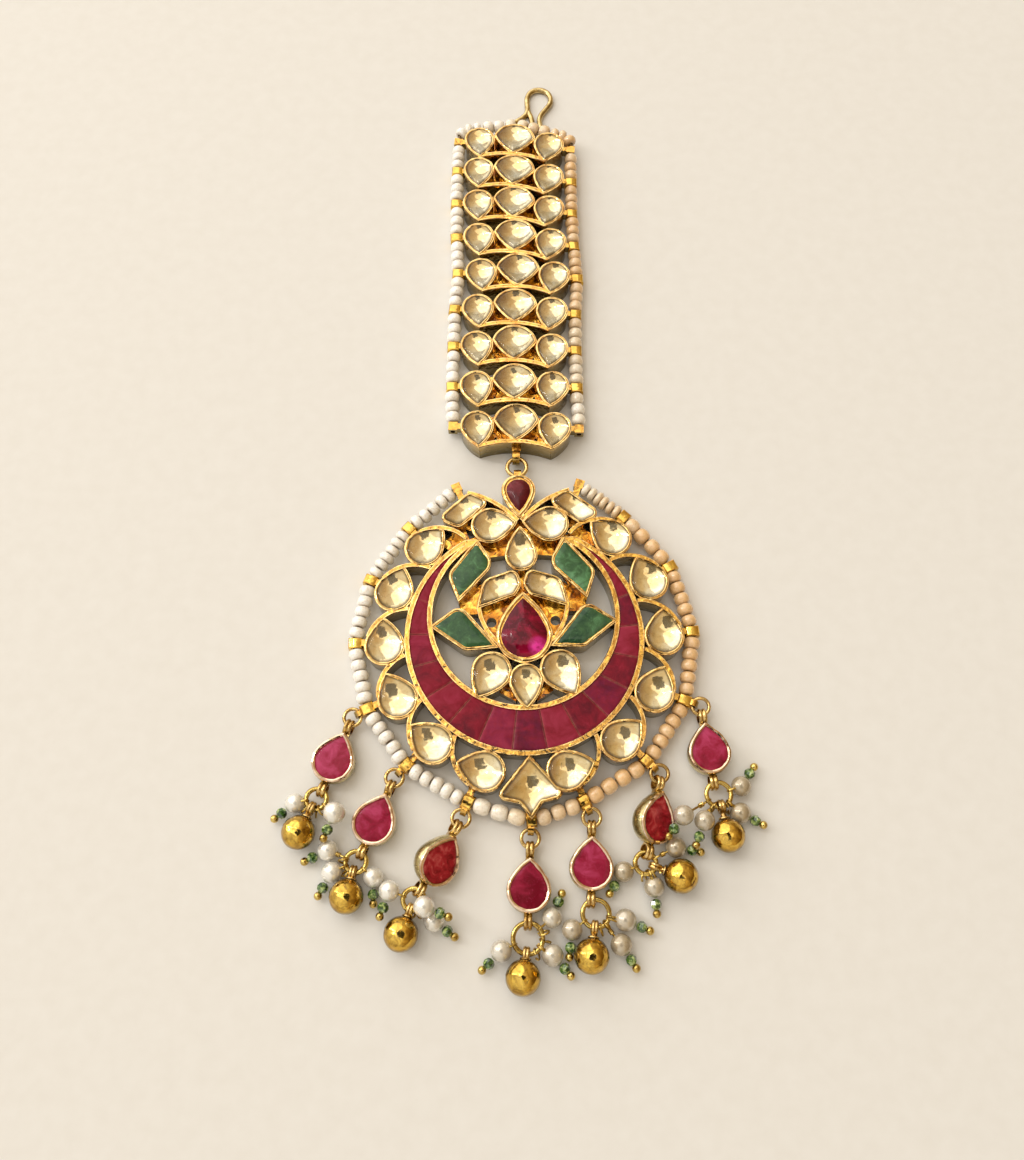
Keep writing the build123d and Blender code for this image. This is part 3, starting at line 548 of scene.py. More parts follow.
def blotches(tree, place, size, low, high, detail=2.0, rough=0.5, warp=0.0):
    """Soft patches about so many millimetres across, as a value held between low and high."""
    lumps = add_node(tree, "TexNoise", Vector=place, Scale=1 / (size * MM), Detail=detail,
                     Roughness=rough, Distortion=warp)
    return add_node(tree, "MapRange", lumps, 0.3, 0.7, low, high)


def relief(tree, *layers, **under):
    """Normal raised by layers of (height, depth in mm, strength), each one on the last, over the mesh's
    own Normal or the one that is given."""
    for height, depth, strength in layers:
        under["Normal"] = add_node(tree, "Bump", Height=height, Distance=depth * MM,
                                   Strength=strength, **under)
    return under["Normal"]


def raised_gold(colours):
    """22 carat gold sheet raised by hand over a core and burnished: yellow rims rubbed brown in places,
    dented floors between the casings painted a deeper amber as painted shade, and walls painted darker
    olive brown toward the bottom and paler toward the rim as painted shade."""
    material, tree, place = new_material("gold_22ct_hand_raised")
    height = add_node(tree, "SeparateXYZ", place).node.outputs["Z"]
    normal = add_node(tree, "NewGeometry").node.outputs["True Normal"]
    facing = add_node(tree, "SeparateXYZ", normal).node.outputs["Z"]
    level = add_node(tree, "MapRange", facing, 0.75, 0.95)
    rise = add_node(tree, "MapRange", height, 0, RIM_TOP * MM)
    # Painted shade: the walls are painted dark olive brown at the bottom, rising to pale gold toward the rim.
    wall = add_node(tree, "ValToRGB", rise, stops=[
        (0.0, linear("#463E20")), (0.3, tuple(colours.wall_shade_gold)), (0.7, linear("#B4985A")),
        (1.0, linear("#F2D088"))])
    worn = blotches(tree, place, 2.8, 0, 0.6, 3, 0.6, 0.6)
    wall = add_node(tree, "MixRGB", worn, wall, linear("#9C8448"))
    dents = blotches(tree, place, 1.4, 0, 1, 1.5, 0.5, 0.5)
    # Painted shade: the recess floors are painted a deeper, darker amber than the rims, varied by random
    # dents.
    floor = add_node(tree, "ValToRGB", dents, stops=[
        (0.05, linear("#8A4A06")), (0.5, tuple(colours.recess_shade_gold)), (0.95, linear("#F8C654"))])
    rim = add_node(tree, "MixRGB", worn, tuple(colours.gold), linear("#B47A2C"))
    is_floor = add_node(tree, "MapRange", height, *(z * MM for z in FLOOR_FADE))
    is_floor = add_node(tree, "Math", level, is_floor, operation="MULTIPLY")
    is_rim = add_node(tree, "MapRange", height, *(z * MM for z in RIM_FADE))
    is_rim = add_node(tree, "Math", level, is_rim, operation="MULTIPLY")
    colour = add_node(tree, "MixRGB", is_floor, wall, floor)
    colour = add_node(tree, "MixRGB", is_rim, colour, rim)
    fine = blotches(tree, place, 0.4, 0, 1)
    shader = add_node(
        tree, "BsdfPrincipled", Base_Color=colour, Metallic=1.0,
        Roughness=blotches(tree, place, 1.9, 0.12, 0.28), Coat_Weight=0.5, Coat_Roughness=0.1,
        Normal=relief(tree, (dents, 0.13, 0.8), (fine, 0.006, 0.6)))
    add_node(tree, "OutputMaterial", shader)
    return material


def pressed_foil(name, bright, shade):
    """Pure gold foil pressed over a stone's edge with a burnisher: soft and bright, with small facets
    left by the tool, and browner in random patches."""
    material, tree, place = new_material(name)
    facets = blotches(tree, place, 1.0, 0, 1, 2, 0.5)
    colour = add_node(tree, "MixRGB", blotches(tree, place, 2.0, 0, 0.9, 3, 0.6, 0.5), bright, shade)
    shader = add_node(
        tree, "BsdfPrincipled", Base_Color=colour, Metallic=1.0,
        Roughness=blotches(tree, place, 0.9, 0.08, 0.22), Coat_Weight=0.6, Coat_Roughness=0.06,
        Normal=relief(tree, (facets, 0.035, 0.9)))
    add_node(tree, "OutputMaterial", shader)
    return material


def glass_over_foil(colours):
    """Kundan glass: clear flat-cut glass over a dished silver-gold foil. The foil is a small hollow mirror in
    which the room shows upside down, while the glass over it stays smooth and gives its own pale shine.
    The foil's colour is painted light: warm and darker on each stone's upper left as painted shade,
    nearly white on its lower right as a painted highlight, and darker near the stone's edge as painted
    shade under the lip."""
    material, tree, place = new_material("kundan_glass_over_foil")
    across, along, rim = (add_node(tree, "Attribute", attribute_name=label).node.outputs["Fac"]
                          for label in ("across", "along", "rim"))
    cloud = blotches(tree, place, 1.9, -0.22, 0.22, 2, 0.5, 0.6)
    # Painted light: the foil is painted warm and darker toward each stone's upper left, a painted shade, and
    # nearly white toward its lower right, a painted highlight.
    side = add_node(tree, "Math", across, along, operation="SUBTRACT")
    side = add_node(tree, "Math", side, 0.15, cloud, operation="MULTIPLY_ADD")
    side = add_node(tree, "Math", side, 0.5, operation="ADD")
    colour = add_node(tree, "ValToRGB", side, stops=[
        (0.1, tuple(colours.foil)), (0.5, linear("#DEC794")), (0.9, tuple(colours.foil_painted_highlight))])
    speck = blotches(tree, place, 0.5, -0.5, 0.35, 3, 0.6)
    colour = add_node(tree, "MixRGB", speck, colour, linear("#A08654"))
    # Painted shade: the foil is painted darker near the stone's edge, under the lip.
    edge = add_node(tree, "MapRange", rim, 0.08, 0.42, 0.8, 0.0)
    colour = add_node(tree, "MixRGB", edge, colour, linear("#5E4318"))
    square = [add_node(tree, "Math", mark, mark, operation="MULTIPLY") for mark in (across, along)]
    dish = add_node(tree, "Math", *square, operation="ADD")
    crumple = blotches(tree, place, 2.2, 0, 0.06, 1.5, 0.5, 0.3)
    level = add_node(tree, "VectorTransform", (0, 0, 1), vector_type="NORMAL",
                     convert_from="OBJECT", convert_to="WORLD")
    dish = add_node(tree, "Math", dish, FOIL_DISH, crumple, operation="MULTIPLY_ADD")
    shader = add_node(
        tree, "BsdfPrincipled", Base_Color=colour, Metallic=0.76,
        Roughness=blotches(tree, place, 1.5, 0.06, 0.14), Coat_Weight=0.4, Coat_Roughness=0.04,
        Normal=relief(tree, (dish, 1.0, 1.0), Normal=level))
    add_node(tree, "OutputMaterial", shader)
    return material


def gem(name, body, light, dark, lump, roughness=0.3, coat=0.1, accents=()):
    """Cloudy natural stone, ground flat and only half polished: paler and darker clouds in the body
    colour. Accents are (mark, colour, strength), such as the pale hairline where two stones meet."""
    material, tree, place = new_material(name)
    tone = add_node(tree, "Attribute", attribute_name="tone").node.outputs["Fac"]
    cloud = blotches(tree, place, lump, -0.3, 0.3, 4, 0.62, 0.9)
    tone = add_node(tree, "Math", tone, cloud, operation="ADD")
    colour = add_node(tree, "ValToRGB", tone, stops=[(0.12, dark), (0.5, body), (0.88, light)])
    streak = blotches(tree, place, lump * 0.28, -0.7, 0.3, 3, 0.7, 1.5)
    colour = add_node(tree, "MixRGB", streak, colour, light)
    for mark, tint, strength in accents:
        amount = add_node(tree, "Attribute", attribute_name=mark).node.outputs["Fac"]
        amount = add_node(tree, "Math", amount, blotches(tree, place, 0.7, 0.3, 1.2),
                          operation="MULTIPLY")
        amount = add_node(tree, "Math", amount, strength, operation="MULTIPLY", use_clamp=True)
        colour = add_node(tree, "MixRGB", amount, colour, tint)
    shader = add_node(
        tree, "BsdfPrincipled", Base_Color=colour, IOR=1.55, Specular_IOR_Level=0.1,
        Roughness=blotches(tree, place, lump, roughness * 0.6, roughness * 1.5, 3), Coat_Weight=coat,
        Coat_Roughness=0.05, Normal=relief(tree, (blotches(tree, place, 0.9, 0, 1, 3, 0.6), 0.02, 0.8)))
    add_node(tree, "OutputMaterial", shader)
    return material


def seed_bead_glass(colours):
    """Opaque pressed seed beads with a fired lustre: chalky white to peach, each a little different, the
    beads to the right painted warmer and darker partly as painted shade, and each bead painted darker
    toward its hole and the faces that meet its neighbours as painted shade."""
    material, tree, place = new_material("seed_bead_opaque_glass")
    tone, girth = (add_node(tree, "Attribute", attribute_name=label).node.outputs["Fac"]
                   for label in ("tone", "girth"))
    tone = add_node(tree, "Math", tone, blotches(tree, place, 2.0, -0.1, 0.1), operation="ADD")
    # The ramp runs from white to peach; its peach side is partly painted shade, given to the beads on the
    # right.
    colour = add_node(tree, "ValToRGB", tone, stops=[
        (0.0, tuple(colours.bead)), (0.5, linear("#F1DFC2")), (1.0, tuple(colours.bead_warm))])
    # Painted shade: each bead is painted darker toward its hole and the faces that meet its neighbours.
    gap_shade = add_node(tree, "MapRange", girth, 0.85, 0.35, 0, 0.75)
    colour = add_node(tree, "MixRGB", gap_shade, colour, linear("#8A6E4A"))
    veins = blotches(tree, place, 0.4, -0.35, 0.45, 3, 0.65, 0.8)
    colour = add_node(tree, "MixRGB", veins, colour, linear("#B4986A"))
    shader = add_node(
        tree, "BsdfPrincipled", Base_Color=colour, Roughness=blotches(tree, place, 1.0, 0.2, 0.34),
        Coat_Weight=1.0, Coat_Roughness=0.07, Subsurface_Weight=0.1,
        Subsurface_Radius=(0.0012, 0.001, 0.0008), Subsurface_Scale=0.4,
        Normal=relief(tree, (blotches(tree, place, 0.5, 0, 1), 0.02, 0.8)))
    add_node(tree, "OutputMaterial", shader)
    return material


def pearl_nacre(colours):
    """Small cultured pearls: smooth nacre, white to taupe, whose layers give a soft glow and rings."""
    material, tree, place = new_material("pearl_nacre")
    tone = add_node(tree, "Attribute", attribute_name="tone").node.outputs["Fac"]
    tone = add_node(tree, "Math", tone, blotches(tree, place, 1.2, -0.15, 0.15, 3), operation="ADD")
    colour = add_node(tree, "ValToRGB", tone, stops=[
        (0.0, tuple(colours.pearl)), (1.0, tuple(colours.pearl_shade))])
    shader = add_node(
        tree, "BsdfPrincipled", Base_Color=colour, Metallic=0.35,
        Roughness=blotches(tree, place, 0.8, 0.16, 0.3), Coat_Weight=1.0, Coat_Roughness=0.05,
        Subsurface_Weight=0.1, Subsurface_Radius=(0.0014, 0.0011, 0.0009), Subsurface_Scale=0.4,
        Normal=relief(tree, (blotches(tree, place, 0.7, 0, 1), 0.02, 0.7)))
    add_node(tree, "OutputMaterial", shader)
    return material


def green_bead_glass():
    """Faceted green glass beads: dark, with bright leaf green painted in random patches as light coming
    through the facets.
    """
    material, tree, place = new_material("glass_bead_green_faceted")
    colour = add_node(tree, "ValToRGB", blotches(tree, place, 0.6, 0, 1, 2, 0.6), stops=[
        (0.1, linear("#152E10")), (0.5, linear("#3E6426")), (0.9, linear("#B4C47C"))])
    shader = add_node(
        tree, "BsdfPrincipled", Base_Color=colour, Roughness=blotches(tree, place, 0.5, 0.05, 0.15),
        IOR=1.52, Coat_Weight=0.9, Coat_Roughness=0.03)
    add_node(tree, "OutputMaterial", shader)
    return material


def bell_gold():
    """Bells raised from gold sheet on a punch: a yellow mirror with shallow hammer marks, painted dark
    olive where the sides turn under and bright yellow where they face up, as painted shade and light."""
    material, tree, place = new_material("gold_bell_hammered")
    normal = add_node(tree, "NewGeometry").node.outputs["Normal"]
    facing = add_node(tree, "SeparateXYZ", normal).node.outputs["Z"]
    # Painted shade: the bell is painted dark olive where it faces down and bright yellow where it faces up.
    colour = add_node(tree, "ValToRGB", add_node(tree, "MapRange", facing, -0.3, 1.0),
                      stops=[(0.1, linear("#3C3414")), (0.42, linear("#8E7A30")), (0.66, linear("#D9AC3E")),
                             (1.0, linear("#EBC258"))])
    worn = blotches(tree, place, 1.2, -0.3, 0.9, 3, 0.6, 0.7)
    colour = add_node(tree, "MixRGB", worn, colour, linear("#8A6418"))
    hammer = add_node(tree, "TexVoronoi", Vector=place, Scale=1 / (1.4 * MM))
    shader = add_node(
        tree, "BsdfPrincipled", Base_Color=colour, Metallic=1.0,
        Roughness=blotches(tree, place, 0.9, 0.08, 0.24, 3), Coat_Weight=0.4, Coat_Roughness=0.05,
        Normal=relief(tree, (hammer, 0.12, 0.7), (blotches(tree, place, 1.3, 0, 1, 1), 0.1, 0.8)))
    add_node(tree, "OutputMaterial", shader)
    return material


def casing_gold():
    """Drop casings: thin pale gold sheet, worn grey-green and rubbed yellow in random patches."""
    material, tree, place = new_material("gold_pale_worn_sheet")
    colour = add_node(tree, "ValToRGB", blotches(tree, place, 2.4, 0, 1, 4, 0.6, 0.8), stops=[
        (0.05, linear("#7E7448")), (0.5, linear("#BCAC78")), (0.95, linear("#E2D2A0"))])
    shader = add_node(
        tree, "BsdfPrincipled", Base_Color=colour, Metallic=1.0,
        Roughness=blotches(tree, place, 2.0, 0.34, 0.18), Coat_Weight=0.5, Coat_Roughness=0.1,
        Normal=relief(tree, (blotches(tree, place, 1.5, 0, 1), 0.1, 0.8),
                      (blotches(tree, place, 0.5, 0, 1, 3), 0.02, 0.7)))
    add_node(tree, "OutputMaterial", shader)
    return material


def drawn_wire(name, bright, shade):
    """Gold wire drawn through a plate and bent: smooth, rubbed bright, browner in patches."""
    material, tree, place = new_material(name)
    colour = add_node(tree, "MixRGB", blotches(tree, place, 1.6, 0, 1, 3, 0.6), bright, shade)
    shader = add_node(
        tree, "BsdfPrincipled", Base_Color=colour, Metallic=1.0,
        Roughness=blotches(tree, place, 0.8, 0.12, 0.32), Coat_Weight=0.5, Coat_Roughness=0.08,
        Normal=relief(tree, (blotches(tree, place, 0.5, 0, 1, 3), 0.03, 0.8)))
    add_node(tree, "OutputMaterial", shader)
    return material


def matt(name, tint, shade, size):
    """Matt sheet, such as paper or felt, whose fibres give it faint darker patches."""
    material, tree, place = new_material(name)
    colour = add_node(tree, "MixRGB", blotches(tree, place, size, 0, 0.08, 3), tint, shade)
    shader = add_node(tree, "BsdfPrincipled", Base_Color=colour, Roughness=0.85, Specular_IOR_Level=0.2)
    add_node(tree, "OutputMaterial", shader)
    return material


_finishes = {}


def finish(name):
    """The material of that name, made the first time that it is asked for."""
    colours = bpy.context.scene.tikka_colours
    recipes = {
        "raised": lambda: raised_gold(colours),
        "lip": lambda: pressed_foil("gold_24ct_burnished_foil", linear("#F4D48E"), linear("#AC7630")),
        "tube": lambda: pressed_foil("gold_22ct_folded_strip", linear("#F2CC62"), linear("#B8862C")),
        "casing_lip": lambda: pressed_foil("gold_rose_burnished_foil", linear("#F2DAC0"), linear("#B4865C")),
        "foil": lambda: glass_over_foil(colours),
        "crescent": lambda: gem(
            "ruby_mulberry_flat_cut", tuple(colours.ruby), linear("#962C42"), linear("#5A1220"), 3.0,
            0.45, 0.0, (("plum", linear("#6C1C46"), 0.4), ("seam", linear("#B87E66"), 0.35))),
        "top_ruby": lambda: gem("ruby_cabochon", linear("#681820"), linear("#8C3A44"), linear("#4C0E12"), 2.4,
                                0.25, 0.2),
        # The centre ruby's glow mark is painted light: a hot pink glow near its lower right.
        "centre_ruby": lambda: gem(
            "ruby_magenta_cabochon", linear("#960E32"), linear("#B42860"), linear("#540618"), 3.4, 0.12, 0.2,
            (("glow", linear("#EC40A6"), 1.6),)),
        "drop_ruby": lambda: gem("ruby_raspberry_table_cut", linear("#901A36"), linear("#B43E64"),
                                 linear("#6C081C"), 2.6, 0.26, 0.1),
        "red_ruby": lambda: gem("ruby_red_table_cut", linear("#A6222C"), linear("#D46A66"),
                                linear("#6A0A10"), 1.6, 0.2, 0.3),
        "emerald": lambda: gem("emerald_cloudy_carved", tuple(colours.emerald), linear("#629464"),
                               linear("#1E3E26"), 2.2, 0.25, 0.35),
        "bead": lambda: seed_bead_glass(colours),
        "pearl": lambda: pearl_nacre(colours),
        "green": green_bead_glass,
        "bell": bell_gold,
        "casing": casing_gold,
        "wire": lambda: drawn_wire("gold_drawn_wire", linear("#E8C884"), linear("#A07A38")),
        "hook": lambda: drawn_wire("gold_pale_drawn_wire", linear("#E0C890"), linear("#94783E")),
        "pin": lambda: drawn_wire("gold_fine_wire", linear("#E8CC74"), linear("#9C7A30")),
    }
    if name not in _finishes:
        _finishes[name] = recipes[name]()
    return _finishes[name]


# ---- Pieces ------------------------------------------------------------------------------------
def seats_of(*nodes):
    """Seats of every stone in those CAD nodes."""
    return [Seat(part) for node in nodes for part in loose_parts(node)]


def band_nodes(kind):
    """CAD nodes of that kind, one for each plate of the band."""
    return [f"band_{kind}_{row}" for row in range(1, BAND_ROWS + 1)]


class TIKKA_OT_set_kundan(bpy.types.Operator):
    """Set the glass stones over their foil in the band and the pendant"""
    bl_idname = "tikka.set_kundan"
    bl_label = "Set kundan stones"

    def execute(self, context):
        sizes = context.scene.tikka_sizes
        chance = random.Random(11)
        groups = {f"kundan_row_{row}": [f"band_stones_{row}"] for row in range(1, BAND_ROWS + 1)}
        groups.update(kundan_outer=["outer_kundan"], kundan_inner=["inner_kundan"])
        for name, nodes in groups.items():
            shape = Shape("across", "along", "rim")
            for seat in seats_of(*nodes):
                edge = RIM_TOP + KUNDAN_EDGE - seat.centre.z
                lean = (chance.uniform(-0.02, 0.02), chance.uniform(-0.02, 0.02))
                slide = (chance.uniform(-0.3, 0.3), chance.uniform(-0.25, 0.25))
                seed = Vector((chance.uniform(0, 50), 0, 0))
                hollow = (1.2 if "row" in name else 1.0) / seat.half**0.5

                def table(depth, deepest, x, y):
                    bevel = min(1.0, depth / 0.5)
                    lumps = 0.03 * noise.noise(Vector((x * 0.6, y * 0.6, 0)) + seed)
                    return sizes.dome * (1 - (1 - bevel) ** 1.6) + (lean[0] * x + lean[1] * y + lumps) * bevel

                # across and along shape the foil's dish and also place its painted shade and painted
                # highlight; rim places its painted edge shade.
                def marks(x, y, depth):
                    return (x + slide[0]) * hollow, (y + slide[1]) * hollow, depth

                stone(shape, seat, edge, table, sizes.facet, marks, over=STONE_OVER)
            shape.build(name, [finish("foil")], "kundan_glass", nodes)
        return {"FINISHED"}


class TIKKA_OT_set_crescent(bpy.types.Operator):
    """Set the flat rubies of the crescent edge to edge"""
    bl_idname = "tikka.set_crescent"
    bl_label = "Set crescent rubies"

    def execute(self, context):
        sizes = context.scene.tikka_sizes
        chance = random.Random(5)
        shape = Shape("tone", "seam", "plum")
        for seat in seats_of("crescent_rubies"):
            shift = chance.uniform(-0.22, 0.22)
            plum = chance.choice((0.0, 0.0, 0.35, 0.8))
            tilt = (chance.uniform(-0.015, 0.015), chance.uniform(-0.015, 0.015))
            ends = seam_ends(seat)

            def face(depth, deepest, x, y):
                rise = min(1.0, depth / 0.35)
                return 0.1 * rise + (tilt[0] * x + tilt[1] * y) * rise

            def marks(x, y, depth):
                place = seat.matrix @ Vector((x, y, 0))
                near = min((abs(end.dot(place)) for end in ends), default=9.0)
                return 0.5 + shift, max(0.0, 1 - near / 0.17), plum

            stone(shape, seat, seat.height - 0.25, face, sizes.facet * 0.6, marks)
        shape.build("rubies_crescent", [finish("crescent")], "ruby", ["crescent_rubies"])
        return {"FINISHED"}


def seam_ends(seat):
    """Level directions square to the cuts that a crescent stone has, all through the pendant's middle."""
    ends = []
    points = [seat.matrix @ Vector((x, y, 0)) for x, y in seat.loop]
    for start, end in zip(points, points[1:] + points[:1]):
        along = (end - start).normalized()
        radial = Vector((start.x, start.y, 0)).normalized()
        if abs(along.dot(radial)) > 0.97:
            ends.append(Vector((-radial.y, radial.x, 0)))
    for angle in map(math.radians, SEAM_HORNS):
        cut = Vector((math.cos(angle), math.sin(angle), 0))
        if max(point.dot(cut) for point in points) > 10:
            ends.append(Vector((-cut.y, cut.x, 0)))
    return ends


class TIKKA_OT_set_gems(bpy.types.Operator):
    """Set the two pear rubies of the pendant and its four emerald leaves"""
    bl_idname = "tikka.set_gems"
    bl_label = "Set rubies and emeralds"

    def execute(self, context):
        sizes = context.scene.tikka_sizes
        for node, label, dome_height, glow in (
            ("top_ruby", "top_ruby", 0.5, (-0.1, 0.3)), ("centre_ruby", "centre_ruby", 0.75, (0.42, -0.5)),
        ):
            shape = Shape("tone", "glow")
            seat = seats_of(node)[0]

            def dome(depth, deepest, x, y):
                rise = min(1.0, depth / (0.72 * deepest))
                return dome_height * (1 - (1 - rise) ** 2.4)

            # Painted light: each ruby's tone is painted lighter near its glow point as a painted highlight,
            # and the centre ruby's glow mark adds a painted hot pink glow there.
            def marks(x, y, depth):
                near = math.dist((x / seat.half, y / seat.half), glow)
                return 0.42 - 0.25 * near + 0.5 * max(0.0, 0.45 - near), max(0.0, 1 - near / 0.34)

            stone(shape, seat, seat.height - 0.4, dome, sizes.facet * 0.6, marks, over=0.1)
            shape.build(f"{node}_cabochon", [finish(label)], "ruby", [node])
        shape = Shape("tone")
        chance = random.Random(3)
        for seat in seats_of("emerald_leaves"):
            shift = chance.uniform(-0.18, 0.18)
            lean = chance.uniform(-0.3, 0.3)

            def slab(depth, deepest, x, y):
                return 0.16 * min(1.0, depth / 0.6) ** 0.7

            def marks(x, y, depth):
                return (0.5 + shift + lean * (x + y) / seat.half,)

            edge = RIM_TOP + LEAF_EDGE - seat.centre.z
            stone(shape, seat, edge, slab, sizes.facet, marks, over=STONE_OVER * 0.7)
        shape.build("emerald_leaves_carved", [finish("emerald")], "emerald", ["emerald_leaves"])
        return {"FINISHED"}


class TIKKA_OT_press_lips(bpy.types.Operator):
    """Press a wavy gold lip over the edge of every stone"""
    bl_idname = "tikka.press_lips"
    bl_label = "Press gold lips"

    def execute(self, context):
        sizes = context.scene.tikka_sizes
        groups = {f"lips_row_{row}": ([f"band_stones_{row}"], WALL) for row in range(1, BAND_ROWS + 1)}
        groups["lips_pendant"] = (["outer_kundan", "inner_kundan", "emerald_leaves"], WALL)
        groups["lips_collars"] = (["top_ruby", "centre_ruby"], COLLAR_WALL)
        for name, (nodes, wall) in groups.items():
            shape = Shape()
            for seat in seats_of(*nodes):
                loop = moved_out(seat.loop, STONE_GAP + wall * 0.62)
                level = RIM_TOP - seat.centre.z - LIP_DROP
                path = [seat.matrix @ Vector((x, y, level)) for x, y in loop]
                wire(shape, path, sizes.lip * wall / WALL, closed=True, spread=0.3, drift=sizes.lip_wave,
                     seed=seat.centre.x)
            shape.build(name, [finish("lip")], "gold")
        shape = Shape()
        for loop in [loop for node in ("pendant_frame", *band_nodes("plate")) for loop in top_edges(node)]:
            wire(shape, loop, EDGE_WIRE, closed=True, sides=6, spread=0.3, drift=0.03, seed=2.0)
        shape.build("burnished_edges", [finish("lip")], "gold")
        return {"FINISHED"}


def top_edges(node):
    """Closed lines along the edges of a gold piece's flat rims, a little under their top."""
    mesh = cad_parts[node].data
    mesh.calc_loop_triangles()
    rims = []
    for triangle in mesh.loop_triangles:
        corners = [mesh.vertices[index].co / MM for index in triangle.vertices]
        if min(corner.z for corner in corners) >= RIM_TOP - 0.01:
            rims.append([(round(corner.x, 3), round(corner.y, 3)) for corner in corners])
    following = {}
    for start, end in open_edges(rims):
        following.setdefault(start, []).append(end)
    loops = []
    while following:
        first = next(iter(following))
        loop = [first]
        while True:
            ends = following[loop[-1]]
            after = ends.pop()
            if not ends:
                del following[loop[-1]]
            if after == first or after not in following:
                break
            loop.append(after)
        if len(loop) > 5:
            loops.append([Vector((x, y, RIM_TOP - EDGE_DROP)) for x, y in evened(loop, 0.4, 0.15)])
    return loops


class TIKKA_OT_string_beads(bpy.types.Operator):
    """String the seed beads round the pendant, down both sides of the band and over its top plate"""
    bl_idname = "tikka.string_beads"
    bl_label = "String seed beads"

    def execute(self, context):
        sizes = context.scene.tikka_sizes
        chance = random.Random(23)
        for node in ("rim_beads", "bead_string_left", "bead_string_right", "bead_string_top"):
            if node == "bead_string_top":
                runs = top_runs()
            else:
                runs = [(*far_pair(used_points(part)), beads_of(part)) for part in loose_parts(node)]
            shape = Shape("tone", "girth")
            for thread_start, thread_end, beads in runs:
                for start, end, radius in beads:
                    middle = (start + end) / 2
                    half = (end - start).length / 2 * chance.uniform(0.97, 1.03)
                    radius *= 1 + chance.uniform(-sizes.bead_spread, sizes.bead_spread)
                    axis = (end - start).normalized()
                    axis += Vector([chance.uniform(-BEAD_SHIFT, BEAD_SHIFT) for _ in range(3)])
                    slip = [chance.uniform(-BEAD_SHIFT, BEAD_SHIFT) for _ in range(2)]
                    matrix = aimed(middle + Vector((*slip, 0)), axis)
                    # Partly painted shade: beads are painted warmer and darker toward +x, as the light comes
                    # from the left, and whiter near WHITE_BEADS_AT.
                    whiter = 0.9 * max(0.0, 1 - abs(middle.y - WHITE_BEADS_AT) / WHITE_BEADS_REACH)
                    warm = 0.48 + middle.x / WARM_ACROSS - whiter + chance.uniform(-0.16, 0.16)
                    warm = min(1.0, max(0.0, warm))
                    profile = bead_profile(half, radius)
                    turned(shape, profile, matrix, sizes.bead_sides, closed=True,
                           marks=[(warm, r / radius) for _, r in profile for _ in range(sizes.bead_sides)])
                path = [thread_start, (thread_start + thread_end) / 2, thread_end]
                wire(shape, path, THREAD_WIRE, sides=6, marks=(0.8, 0.3))
            shape.build(f"{node}_strung", [finish("bead")], "seed_bead", [node])
        return {"FINISHED"}


def top_runs():
    """Straight runs of the string over the first plate: both ends of the thread, and its beads."""
    x, y, turn = TOP_ROW
    place = Matrix.Translation((x, y, 0)) @ Matrix.Rotation(math.radians(turn), 4, "Z")
    stations = [place @ Vector((across, up, TOP_STRING_Z)) for across, up, _ in TOP_STRING]
    runs = []
    for start, end, (_, _, count) in zip(stations, stations[1:], TOP_STRING[1:]):
        along = (end - start).normalized()
        pitch = ((end - start).length - 2 * THREAD_END) / count
        beads = [(start + along * (THREAD_END + pitch * k + BEAD_GAP / 2),
                  start + along * (THREAD_END + pitch * (k + 1) - BEAD_GAP / 2), BEAD_RADIUS)
                 for k in range(count)]
        runs.append((start, end, beads))
    return runs


def far_pair(points):
    """Two ends of a long part, the middles of its outermost points along its length."""
    centre = points.mean(axis=0)
    axis = np.linalg.svd(points - centre, full_matrices=False)[2][0]
    along = (points - centre) @ axis
    ends = []
    for extreme in (along.min(), along.max()):
        ends.append(Vector(points[np.abs(along - extreme) < 0.02].mean(axis=0)))
    return ends


def beads_of(part):
    """Both ends and the greatest radius of each bead on one straight run of thread."""
    points = used_points(part)
    start, end = far_pair(points)
    axis = np.array((end - start).normalized())
    along = (points - np.array(start)) @ axis
    radial = np.linalg.norm(points - np.array(start) - along[:, None] * axis, axis=1)
    necks = np.sort(along[np.abs(radial - BEAD_NECK) < 0.02])
    places = [float(group.mean()) for group in np.split(necks, np.where(np.diff(necks) > 0.03)[0] + 1)]
    beads = []
    for first, last in zip(places[::2], places[1::2]):
        widest = float(radial[(along > first) & (along < last)].max())
        beads.append((start + Vector(axis) * first, start + Vector(axis) * last, widest))
    return beads


def bead_profile(half, radius, hole=0.42, count=13):
    """Closed (height, radius) profile of a rounded bead with a hole."""
    outer = []
    for k in range(count):
        angle = math.pi * k / (count - 1)
        rise = max(0.0, math.sin(angle)) ** 0.74
        outer.append((-half * math.cos(angle), hole + (radius - hole) * rise))
    return outer + [(half * 0.4, hole * 0.9), (-half * 0.4, hole * 0.9)]


